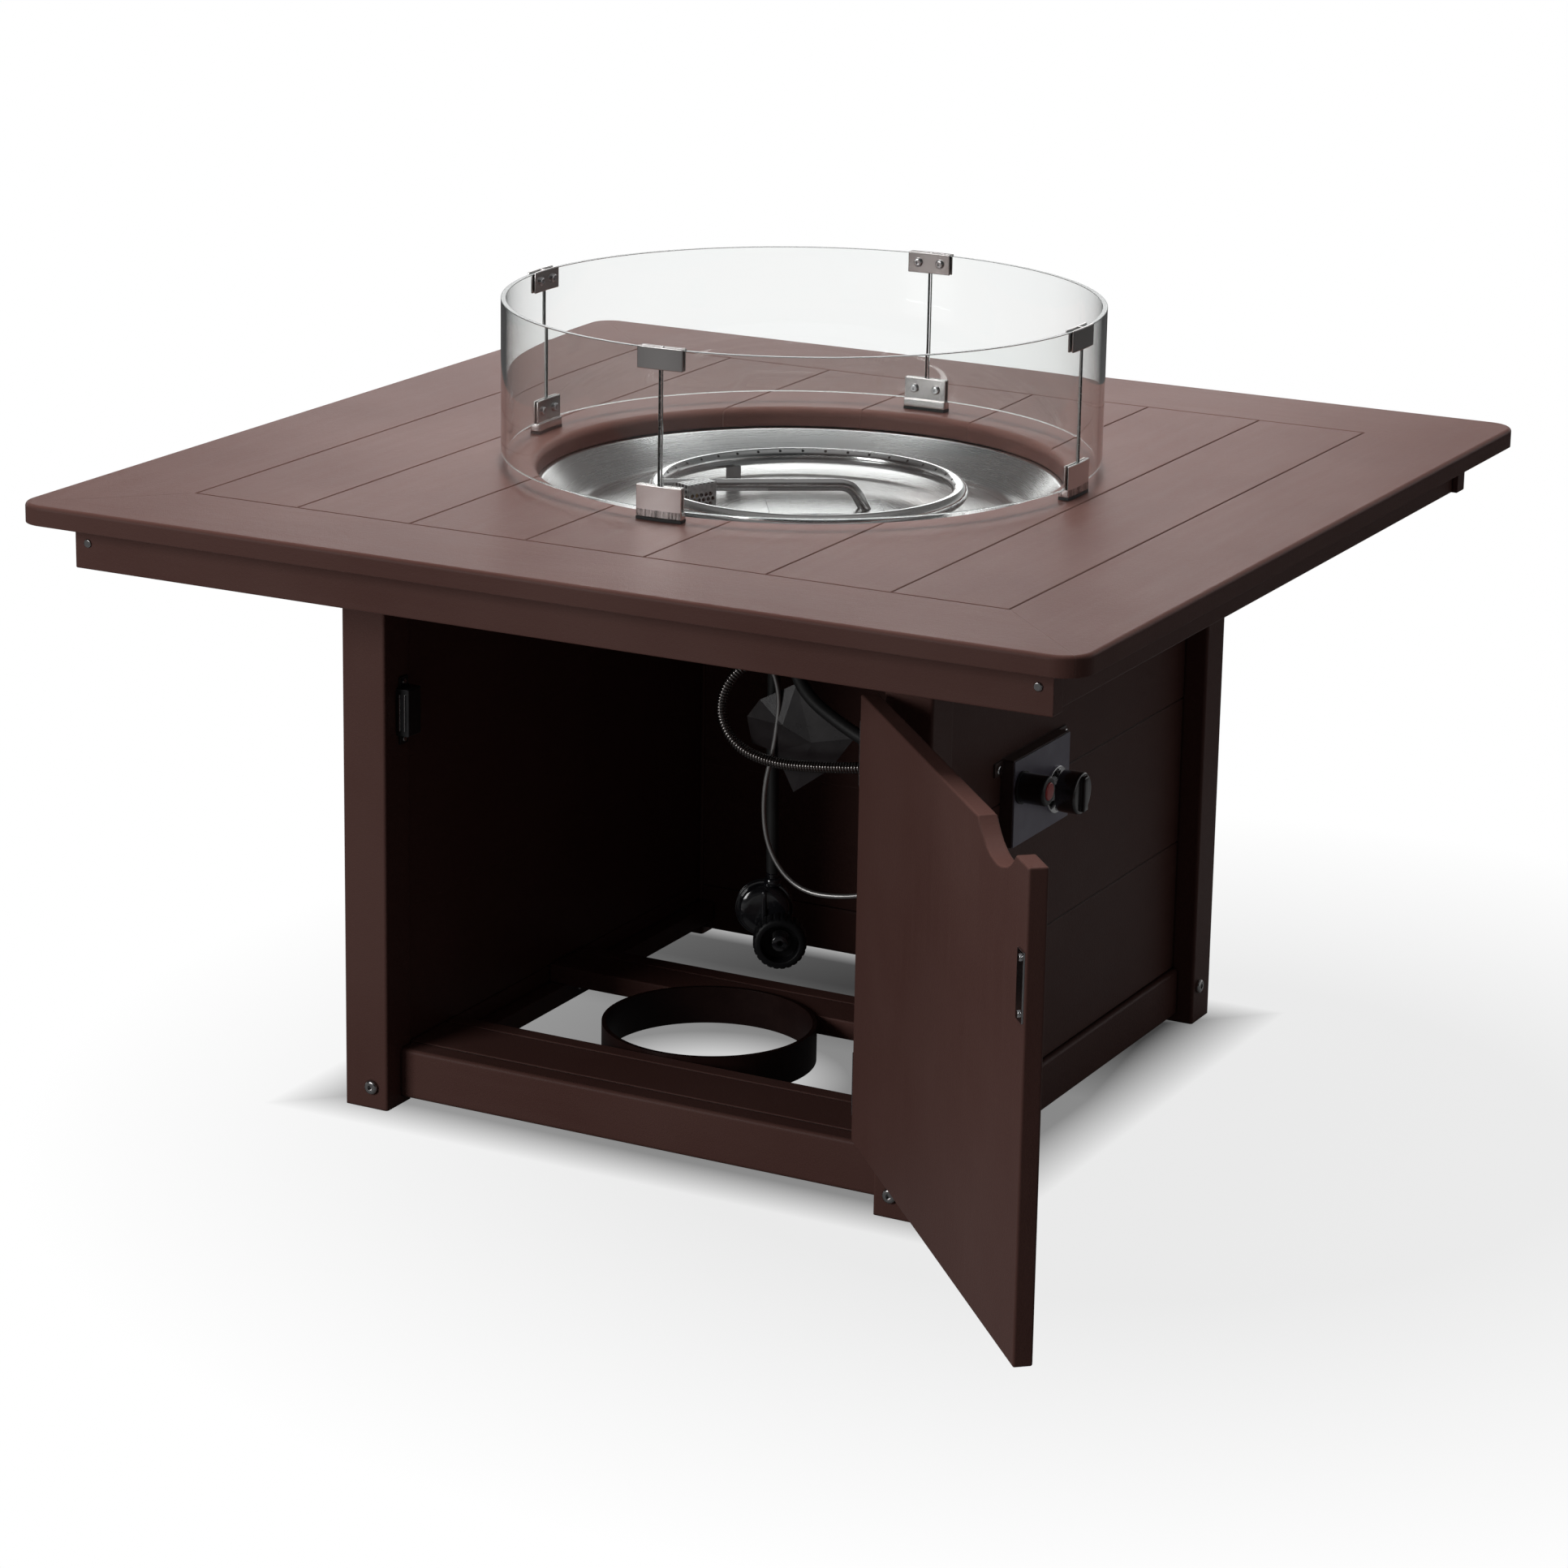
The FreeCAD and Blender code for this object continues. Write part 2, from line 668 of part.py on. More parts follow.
def apron_screws():
    """Return the screws near the ends of the front and back aprons."""
    heads = []
    for sign_y in (-1, 1):
        for sign_x in (-1, 1):
            at = Vec(sign_x * (APRON_SIDE + APRON_LAP - APRON_SCREW_INSET), sign_y * APRON_FRONT,
                     TOP_UNDERSIDE - APRON_SCREW_DROP)
            heads.append(button_head(at, Vec(0, sign_y, 0), SCREW_HEAD_RADIUS, SCREW_HEAD_HEIGHT,
                                     SCREW_SHANK_RADIUS, SCREW_SHANK_LENGTH))
    return group(heads)


def cleat_screws():
    """Return the screws that hold the floor cleats to the side rails."""
    heads = []
    for sign in (-1, 1):
        at = Vec(sign * (INSIDE_X - CLEAT_SIDE), CLEAT_SCREW_Y, FLOOR_TOP - BOARD - CLEAT_SIDE / 2)
        heads.append(button_head(at, Vec(-sign, 0, 0), SMALL_HEAD_RADIUS, SMALL_HEAD_HEIGHT,
                                 SMALL_SHANK_RADIUS, SMALL_SHANK_LENGTH))
    return group(heads)


def catch_front():
    """Return how far forward the catch's plastic body reaches."""
    return DOOR_BACK + STRIKE_THICKNESS + CATCH_CLOSED_GAP + POLE_STICKOUT


def catch_screws():
    """Return the two screws that hold the catch to the post."""
    heads = []
    for sign in (-1, 1):
        at = Vec(-POST_IN_X + CATCH_TAB_THICKNESS, catch_front() + CATCH_BODY_DEPTH / 2,
                 CATCH_HEIGHT_CENTRE + sign * (CATCH_BODY_HEIGHT + CATCH_TAB_HEIGHT) / 4)
        heads.append(button_head(at, X_AXIS, SMALL_HEAD_RADIUS, SMALL_HEAD_HEIGHT,
                                 SMALL_SHANK_RADIUS, SMALL_SHANK_LENGTH))
    return group(heads)


def pan_screws():
    """Return the screws that hold the pan's rim to the underside of the planks."""
    heads = []
    radius = (PAN_RIM_RADIUS + OPENING_RADIUS) / 2
    for index in range(PAN_SCREW_COUNT):
        turn = math.radians(PAN_SCREW_BEARING + index * 360 / PAN_SCREW_COUNT)
        at = Vec(radius * math.cos(turn), radius * math.sin(turn), TOP_UNDERSIDE - PAN_SHEET)
        heads.append(button_head(at, -Z_AXIS, SMALL_HEAD_RADIUS, SMALL_HEAD_HEIGHT, SMALL_SHANK_RADIUS,
                                 SMALL_SHANK_LENGTH))
    return group(heads)


def control_box_screws():
    """Return the two screws that hold the control box to the wall."""
    heads = []
    for y in (CONTROL_FRONT - TAB_LENGTH * 0.6, CONTROL_BACK + TAB_LENGTH * 0.7):
        at = Vec(WALL_OUT_X + TAB_THICKNESS, y, TAB_HEIGHT_CENTRE)
        heads.append(button_head(at, X_AXIS, CONTROL_HEAD_RADIUS, SCREW_HEAD_HEIGHT * 1.5,
                                 SCREW_SHANK_RADIUS, SMALL_SHANK_LENGTH))
    return group(heads)


def post_bolts():
    """Return the bolts that hold the rails in the feet of the posts."""
    bolts = []
    side_rail_x = SIDE_RAIL_OUT - RAIL_THICKNESS / 2
    front_rail_y = FRONT_RAIL_FACE + RAIL_THICKNESS / 2
    rear_rail_y = REAR_RAIL_OUT - RAIL_THICKNESS / 2
    for sign_x in (-1, 1):
        for sign_y, rail_y in ((-1, front_rail_y), (1, rear_rail_y)):
            end_bolt = Vec(sign_x * side_rail_x, sign_y * POST_OUT_Y, POST_BOLT_HEIGHT - 8)
            side_bolt = Vec(sign_x * POST_OUT_X, rail_y, POST_BOLT_HEIGHT + 8)
            for at, out in ((end_bolt, Vec(0, sign_y, 0)), (side_bolt, Vec(sign_x, 0, 0))):
                bolts.append(button_head(at, out, BOLT_HEAD_RADIUS, BOLT_HEAD_HEIGHT, BOLT_SHANK_RADIUS,
                                         BOLT_GRIP, BOLT_SOCKET_RADIUS, BOLT_SOCKET_DEPTH))
    return group(bolts)


def make_frame():
    """Build the posts, the rails and their bolts."""
    bolts = post_bolts()
    latch = catch_screws()
    save("post_bolts", bolts)
    for front_name, sign_y in (("front", -1), ("rear", 1)):
        for side_name, sign_x in (("left", -1), ("right", 1)):
            xs = sorted((sign_x * POST_OUT_X, sign_x * POST_IN_X))
            ys = sorted((sign_y * POST_OUT_Y, sign_y * POST_IN_Y))
            post = block(xs[0], xs[1], ys[0], ys[1], 0, TOP_UNDERSIDE)
            post = post.makeFillet(POST_EDGE_ROUND, upright_edges(post))
            save(f"post_{front_name}_{side_name}", post.cut(bolts).cut(latch))

    def rail(x0, x1, y0, y1, z0, z1):
        body = block(x0, x1, y0, y1, z0, z1)
        along_x = x1 - x0 > y1 - y0
        long_edges = [e for e in body.Edges
                      if near(e.Length, x1 - x0 if along_x else y1 - y0)]
        return body.makeFillet(RAIL_EDGE_ROUND, long_edges).cut(bolts)

    fronts = [rail(-POST_IN_X, POST_IN_X, FRONT_RAIL_FACE, FRONT_RAIL_BACK, RAIL_LIFT, RAIL_TOP),
              rail(-POST_IN_X, POST_IN_X, FRONT_RAIL_FACE, FRONT_RAIL_BACK, UPPER_RAIL_BOTTOM, TOP_UNDERSIDE)]
    save("rails_front", group(fronts))
    save("rail_rear", rail(-POST_IN_X, POST_IN_X, INSIDE_REAR_Y, REAR_RAIL_OUT, RAIL_LIFT, RAIL_TOP))
    sides = [rail(-SIDE_RAIL_OUT, -INSIDE_X, -POST_IN_Y, POST_IN_Y, RAIL_LIFT, RAIL_TOP),
             rail(INSIDE_X, SIDE_RAIL_OUT, -POST_IN_Y, POST_IN_Y, RAIL_LIFT, RAIL_TOP)]
    save("rails_side", group(sides))


def make_walls():
    """Build the stacked wall boards of the two sides and the rear."""
    levels = (RAIL_TOP,) + WALL_SEAMS + (TOP_UNDERSIDE,)
    window = block(INSIDE_X - 1, WALL_OUT_X + 1, CONTROL_FRONT + WALL_WINDOW_MARGIN,
                   CONTROL_BACK - WALL_WINDOW_MARGIN, CONTROL_BOTTOM + WALL_WINDOW_MARGIN,
                   CONTROL_TOP - WALL_WINDOW_MARGIN)

    def stack(x0, x1, y0, y1, face_test):
        boards = []
        for z0, z1 in zip(levels, levels[1:]):
            body = block(x0, x1, y0, y1, z0, z1)
            seam = edges_where(body, lambda p: face_test(p) and (near(p.z, z0) or near(p.z, z1)))
            seam = [e for e in seam if near(e.Vertexes[0].Point.z, e.Vertexes[1].Point.z)]
            boards.append(body.makeChamfer(SEAM_CHAMFER, seam))
        return boards

    left = stack(-WALL_OUT_X, -INSIDE_X, -POST_IN_Y, POST_IN_Y, lambda p: near(p.x, -WALL_OUT_X))
    right = stack(INSIDE_X, WALL_OUT_X, -POST_IN_Y, POST_IN_Y, lambda p: near(p.x, WALL_OUT_X))
    rear = stack(-POST_IN_X, POST_IN_X, INSIDE_REAR_Y, INSIDE_REAR_Y + BOARD,
                 lambda p: near(p.y, INSIDE_REAR_Y + BOARD))
    save("wall_left", group(left))
    screws = control_box_screws()
    save("wall_right", group([board.cut(window).cut(screws) for board in right]))
    save("wall_rear", group(rear))


def make_floor():
    """Build the floor boards, the strips beside them, the side cleats and the cylinder ring."""
    low = FLOOR_TOP - BOARD
    ring_axis = Vec(RING_X, RING_Y, 0)

    def floor_board(y0, y1):
        body = block(-INSIDE_X, INSIDE_X, y0, y1, low, FLOOR_TOP)
        long_top = [e for e in edges_where(body, lambda p: near(p.z, FLOOR_TOP)) if near(e.Length, 2 * INSIDE_X)]
        return body.makeFillet(SEAM_CHAMFER, long_top)

    notch = rod(RING_RADIUS + RING_NOTCH_CLEARANCE, ring_axis, Z_AXIS, TOP_HEIGHT)
    strip_front = FRONT_FLOOR_BACK + FLOOR_SLIT
    strip_rear = MIDDLE_FLOOR_BACK + FLOOR_SLIT
    save("floor_boards", group([floor_board(FRONT_RAIL_BACK, FRONT_FLOOR_BACK),
                                floor_board(strip_front, strip_front + FLOOR_STRIP_WIDTH),
                                floor_board(strip_rear, strip_rear + REAR_STRIP_WIDTH)]))
    save("floor_board_notched", floor_board(MIDDLE_FLOOR_FRONT, MIDDLE_FLOOR_BACK).cut(notch))
    cleat_low = low - CLEAT_SIDE
    screws = cleat_screws()
    cleats = [block(-INSIDE_X, -INSIDE_X + CLEAT_SIDE, FRONT_RAIL_BACK, POST_IN_Y, cleat_low, low).cut(screws),
              block(INSIDE_X - CLEAT_SIDE, INSIDE_X, FRONT_RAIL_BACK, POST_IN_Y, cleat_low, low).cut(screws)]
    save("floor_cleats", group(cleats))
    save("cylinder_ring", pipe(RING_RADIUS, RING_RADIUS - RING_WALL, ring_axis + Vec(0, 0, RING_BOTTOM),
                               Z_AXIS, RING_TOP - RING_BOTTOM))


def swing(shape):
    """Turn a piece of the closed door to where the open door stands."""
    shape.rotate(Vec(PIN_X, PIN_Y, 0), Z_AXIS, DOOR_OPEN_ANGLE)
    return shape


def make_door():
    """Build the door with its pull notch, its strike plate and its two hinges."""
    door = block(DOOR_FREE_X, DOOR_HINGE_X, DOOR_FACE, DOOR_BACK, DOOR_BOTTOM, DOOR_TOP)
    door = door.makeFillet(DOOR_EDGE_ROUND, door.Edges)
    pull_x = DOOR_HINGE_X - PULL_FROM_HINGE
    pull_z = DOOR_TOP + PULL_CENTRE_RISE
    door = door.cut(rod(PULL_RADIUS, Vec(pull_x, DOOR_FACE - 1, pull_z), Y_AXIS, DOOR_THICKNESS + 2))
    rims = [e for e in door.Edges if e.Length > DOOR_THICKNESS and near(getattr(e.Curve, "Radius", 0), PULL_RADIUS)]
    door = door.makeFillet(PULL_EDGE_ROUND / 2, rims)

    strike_x0 = DOOR_FREE_X + STRIKE_EDGE_INSET
    strike_low = CATCH_HEIGHT_CENTRE - STRIKE_HEIGHT / 2
    strike = block(strike_x0, strike_x0 + STRIKE_WIDTH, DOOR_BACK, DOOR_BACK + STRIKE_THICKNESS,
                   strike_low, strike_low + STRIKE_HEIGHT)
    heads = []
    for sign in (-1, 1):
        at = Vec(strike_x0 + STRIKE_WIDTH / 2, DOOR_BACK + STRIKE_THICKNESS,
                 CATCH_HEIGHT_CENTRE + sign * (STRIKE_HEIGHT / 2 - 6))
        heads.append(button_head(at, Y_AXIS, SMALL_HEAD_RADIUS, SMALL_HEAD_HEIGHT,
                                 SMALL_SHANK_RADIUS, SMALL_SHANK_LENGTH))
    heads = group(heads)

    knuckle = HINGE_LENGTH / HINGE_KNUCKLES
    door_leaves = []
    post_leaves = []
    pins = []
    for height in HINGE_HEIGHTS:
        low = height - HINGE_LENGTH / 2
        axis = Vec(PIN_X, PIN_Y, low)
        leaf_end = DOOR_FACE + LEAF_DEPTH
        door_leaf = block(DOOR_HINGE_X, DOOR_HINGE_X + LEAF_THICKNESS, PIN_Y, leaf_end, low, low + HINGE_LENGTH)
        post_leaf = block(POST_IN_X - LEAF_THICKNESS, POST_IN_X, PIN_Y, leaf_end, low, low + HINGE_LENGTH)
        for index in range(HINGE_KNUCKLES):
            start = axis + Vec(0, 0, index * knuckle)
            full = rod(KNUCKLE_RADIUS, start, Z_AXIS, knuckle)
            space = rod(KNUCKLE_RADIUS + EASY_CLEARANCE, start - Vec(0, 0, KNUCKLE_GAP / 2), Z_AXIS,
                        knuckle + KNUCKLE_GAP)
            if index % 2:
                door_leaf = door_leaf.fuse(full)
                post_leaf = post_leaf.cut(space)
            else:
                post_leaf = post_leaf.fuse(full)
                door_leaf = door_leaf.cut(space)
        post_leaf = post_leaf.cut(rod(PIN_RADIUS, axis, Z_AXIS, HINGE_LENGTH))
        door_leaf = door_leaf.cut(rod(PIN_RADIUS + RUNNING_CLEARANCE, axis, Z_AXIS, HINGE_LENGTH))
        door_leaves.append(door_leaf)
        post_leaves.append(post_leaf)
        pins.append(rod(PIN_RADIUS, axis, Z_AXIS, HINGE_LENGTH).fuse(
            rod(PIN_HEAD_RADIUS, axis + Vec(0, 0, HINGE_LENGTH), Z_AXIS, PIN_HEAD_HEIGHT)))
    save("hinge_post_leaves", group(post_leaves + pins))
    save("hinge_door_leaves", swing(group(door_leaves)))
    save("strike_plate", swing(strike.cut(heads)))
    save("door", swing(door.cut(heads)))
    save("strike_screws", swing(heads))


def make_catch():
    """Build the magnetic catch on the left-hand front post."""
    front = catch_front()
    back = front + CATCH_BODY_DEPTH
    post_face = -POST_IN_X
    mid = CATCH_HEIGHT_CENTRE
    body = block(post_face, post_face + CATCH_BODY_WIDTH, front, back,
                 mid - CATCH_BODY_HEIGHT / 2, mid + CATCH_BODY_HEIGHT / 2)
    body = body.makeFillet(1.5, edges_where(body, lambda p: near(p.x, post_face + CATCH_BODY_WIDTH)))
    tab = block(post_face, post_face + CATCH_TAB_THICKNESS, front + 4, back - 4,
                mid - CATCH_TAB_HEIGHT / 2, mid + CATCH_TAB_HEIGHT / 2)
    body = body.fuse(tab)
    poles = []
    for x0 in (post_face + 3.5, post_face + CATCH_BODY_WIDTH - 3.5 - POLE_THICKNESS):
        poles.append(block(x0, x0 + POLE_THICKNESS, front - POLE_STICKOUT, back - 3,
                           mid - POLE_HEIGHT / 2, mid + POLE_HEIGHT / 2))
    poles = group(poles)
    save("catch_poles", poles)
    save("catch_body", body.cut(catch_screws()).cut(poles))


def make_controls():
    """Build the control box on the right-hand wall with the igniter, the valve and the knob."""
    outer = block(WALL_OUT_X, CONTROL_OUT, CONTROL_FRONT, CONTROL_BACK, CONTROL_BOTTOM, CONTROL_TOP)
    along_x = [e for e in outer.Edges if near(e.Length, CONTROL_DEPTH)]
    outer = outer.makeFillet(CONTROL_ROUND, along_x)
    inner = block(WALL_OUT_X - 1, CONTROL_OUT - CONTROL_SKIN, CONTROL_FRONT + CONTROL_SKIN,
                  CONTROL_BACK - CONTROL_SKIN, CONTROL_BOTTOM + CONTROL_SKIN, CONTROL_TOP - CONTROL_SKIN)
    box = outer.cut(inner)
    front_tab = block(WALL_OUT_X, WALL_OUT_X + TAB_THICKNESS, CONTROL_FRONT - TAB_LENGTH, CONTROL_FRONT + 1,
                      TAB_HEIGHT_CENTRE - TAB_HEIGHT / 2, TAB_HEIGHT_CENTRE + TAB_HEIGHT / 2)
    rear_tab = block(WALL_OUT_X, WALL_OUT_X + TAB_THICKNESS, CONTROL_BACK - 1, CONTROL_BACK + TAB_LENGTH,
                     TAB_HEIGHT_CENTRE - TAB_HEIGHT / 2, TAB_HEIGHT_CENTRE + TAB_HEIGHT / 2)
    box = box.fuse(front_tab).fuse(rear_tab)
    heads = control_box_screws()
    plate = block(CONTROL_OUT, PLATE_OUT, CONTROL_FRONT + PLATE_MARGIN, CONTROL_BACK - PLATE_MARGIN,
                  CONTROL_BOTTOM + PLATE_MARGIN, CONTROL_TOP - PLATE_MARGIN)
    plate = plate.makeFillet(CONTROL_ROUND / 2, [e for e in plate.Edges if near(e.Length, PLATE_THICKNESS)])

    igniter_at = Vec(PLATE_OUT, IGNITER_Y, IGNITER_Z)
    body_end = PLATE_OUT + IGNITER_FLANGE_THICKNESS + IGNITER_BODY_LENGTH
    barrel = rod(IGNITER_BARREL_RADIUS, igniter_at - X_AXIS * IGNITER_BARREL_LENGTH, X_AXIS, IGNITER_BARREL_LENGTH)
    flange = rod(IGNITER_FLANGE_RADIUS, igniter_at, X_AXIS, IGNITER_FLANGE_THICKNESS)
    cap = rod(IGNITER_BODY_RADIUS, igniter_at + X_AXIS * IGNITER_FLANGE_THICKNESS, X_AXIS, IGNITER_BODY_LENGTH)
    cap = cap.makeFillet(3.0, [e for e in cap.Edges if e.Closed and near(e.CenterOfMass.x, body_end)])
    button_tip = body_end + BUTTON_STICKOUT
    button_foot = button_tip - BUTTON_LENGTH
    well = rod(BUTTON_RADIUS + RUNNING_CLEARANCE, Vec(button_foot - BUTTON_WELL_SPARE, IGNITER_Y, IGNITER_Z),
               X_AXIS, BUTTON_LENGTH + BUTTON_WELL_SPARE)
    igniter = barrel.fuse(flange).fuse(cap).cut(well)
    button = rod(BUTTON_RADIUS, Vec(button_foot, IGNITER_Y, IGNITER_Z), X_AXIS, BUTTON_LENGTH)
    button = button.makeFillet(1.5, [e for e in button.Edges if e.Closed and near(e.CenterOfMass.x, button_tip)])

    knob_axis = Vec(0, KNOB_Y, KNOB_Z)
    bezel_out = PLATE_OUT + BEZEL_THICKNESS
    knob_back = PLATE_OUT + KNOB_BACK_GAP
    knob_face = knob_back + KNOB_LENGTH
    skirt_back = knob_axis + X_AXIS * (knob_back - KNOB_SKIRT_LENGTH)
    knob = rod(KNOB_RADIUS, skirt_back, X_AXIS, KNOB_LENGTH + KNOB_SKIRT_LENGTH)
    knob = knob.makeFillet(KNOB_FACE_ROUND, [e for e in knob.Edges if e.Closed and near(e.CenterOfMass.x, knob_face)])
    knob = knob.cut(rod(KNOB_RADIUS - KNOB_SKIRT_WALL, skirt_back, X_AXIS, KNOB_SKIRT_LENGTH))
    grip = block(knob_face - 1, knob_face + GRIP_HEIGHT, KNOB_Y - GRIP_WIDTH / 2, KNOB_Y + GRIP_WIDTH / 2,
                 KNOB_Z - KNOB_RADIUS + 3, KNOB_Z + KNOB_RADIUS - 3)
    grip = grip.makeFillet(2.0, edges_where(grip, lambda p: near(p.x, knob_face + GRIP_HEIGHT)))
    stem = rod(STEM_RADIUS, knob_axis + X_AXIS * (INSIDE_X - STEM_TIP_INSIDE), X_AXIS,
               knob_back + KNOB_LENGTH / 2 - INSIDE_X + STEM_TIP_INSIDE)
    knob = knob.fuse(grip).fuse(stem)
    stem_hole = rod(STEM_RADIUS + RUNNING_CLEARANCE, knob_axis, X_AXIS, knob_face)
    stem_space = rod(STEM_RADIUS + EASY_CLEARANCE, knob_axis, X_AXIS, knob_face)
    bezel = rod(BEZEL_RADIUS, knob_axis + X_AXIS * PLATE_OUT, X_AXIS, BEZEL_THICKNESS)
    bezel = bezel.makeFillet(1.0, [e for e in bezel.Edges if e.Closed and near(e.CenterOfMass.x, bezel_out)])
    bezel_heads = []
    for sign in (-1, 1):
        at = Vec(bezel_out, KNOB_Y, KNOB_Z + sign * BEZEL_SCREW_OFFSET)
        bezel_heads.append(button_head(at, X_AXIS, BEZEL_SCREW_RADIUS, SMALL_HEAD_HEIGHT,
                                       SMALL_SHANK_RADIUS, bezel_out - CONTROL_OUT + CONTROL_SKIN + FLANGE_THICKNESS))
    bezel_heads = group(bezel_heads)

    sleeve = pipe(SLEEVE_RADIUS, STEM_RADIUS + RUNNING_CLEARANCE,
                  knob_axis + X_AXIS * (knob_back - SLEEVE_LENGTH), X_AXIS, SLEEVE_LENGTH)

    valve_x0 = INSIDE_X - VALVE_THICKNESS
    valve_y0 = KNOB_Y - VALVE_WIDTH * 0.62
    valve = block(valve_x0, INSIDE_X, valve_y0, valve_y0 + VALVE_WIDTH, KNOB_Z - VALVE_HEIGHT / 2,
                  KNOB_Z + VALVE_HEIGHT / 2)
    valve = valve.makeFillet(3.0, valve.Edges)
    skin_back = CONTROL_OUT - CONTROL_SKIN
    neck = rod(NECK_RADIUS, knob_axis + X_AXIS * (INSIDE_X - 4), X_AXIS, skin_back - INSIDE_X + 4)
    flange = rod(BEZEL_RADIUS, knob_axis + X_AXIS * (skin_back - FLANGE_THICKNESS), X_AXIS, FLANGE_THICKNESS)
    armour_port = Vec(valve_x0, KNOB_Y + 5, KNOB_Z - 4)
    supply_port = Vec(valve_x0, KNOB_Y - 14, KNOB_Z + 6)
    pilot_port = Vec(valve_x0 + 14, KNOB_Y - 16, KNOB_Z - VALVE_HEIGHT / 2)
    for at, out, radius in ((armour_port, -X_AXIS, NIPPLE_RADIUS), (supply_port, -X_AXIS, NIPPLE_RADIUS),
                            (pilot_port, -Z_AXIS, PILOT_RADIUS)):
        valve = valve.fuse(rod(radius, at - out * 2, out, NIPPLE_LENGTH / 2 + 2))
    valve = valve.fuse(neck).fuse(flange).cut(stem_hole).cut(bezel_heads)

    hollow = rod(IGNITER_BARREL_RADIUS, Vec(0, IGNITER_Y, IGNITER_Z), X_AXIS, 2 * POST_OUT_X)
    stem_window = rod(STEM_RADIUS + EASY_CLEARANCE, knob_axis, X_AXIS, 2 * POST_OUT_X)
    save("control_box", box.cut(heads).cut(hollow).cut(stem_window).cut(bezel_heads))
    save("control_plate", plate.cut(hollow).cut(stem_window).cut(bezel_heads))
    save("control_screws", group(heads.Solids + bezel_heads.Solids))
    save("igniter_body", igniter)
    save("igniter_button", button)
    save("valve_bezel", bezel.cut(stem_space).cut(bezel_heads))
    save("gas_knob", knob)
    save("stem_sleeve", sleeve)
    save("gas_valve", valve)
    return armour_port, supply_port, pilot_port


def feed_path():
    """Return the burner feed tube's route and its way out below the pan."""
    along = Vec(FEED_DIRECTION[0], FEED_DIRECTION[1], 0)
    along.normalize()
    bend = Vec(FEED_BEND_X, FEED_BEND_Y, FEED_HEIGHT)
    spoke = bend - BURNER_AXIS
    reach = math.sqrt(BURNER_RADIUS ** 2 - spoke.cross(along).z ** 2) + spoke.dot(along)
    start = bend - along * reach
    angle = math.radians(FEED_BEND_ANGLE)

    def on_bend(share):
        turn = angle * share
        return bend + along * (FEED_BEND_RADIUS * math.sin(turn)) \
            - Z_AXIS * (FEED_BEND_RADIUS * (1 - math.cos(turn)))

    down = along * math.cos(angle) - Z_AXIS * math.sin(angle)
    end = on_bend(1) + down * FEED_TAIL
    wire = Part.Wire([Part.LineSegment(start, bend).toShape(),
                      Part.Arc(bend, on_bend(0.5), on_bend(1)).toShape(),
                      Part.LineSegment(on_bend(1), end).toShape()])
    return wire, along, down, end


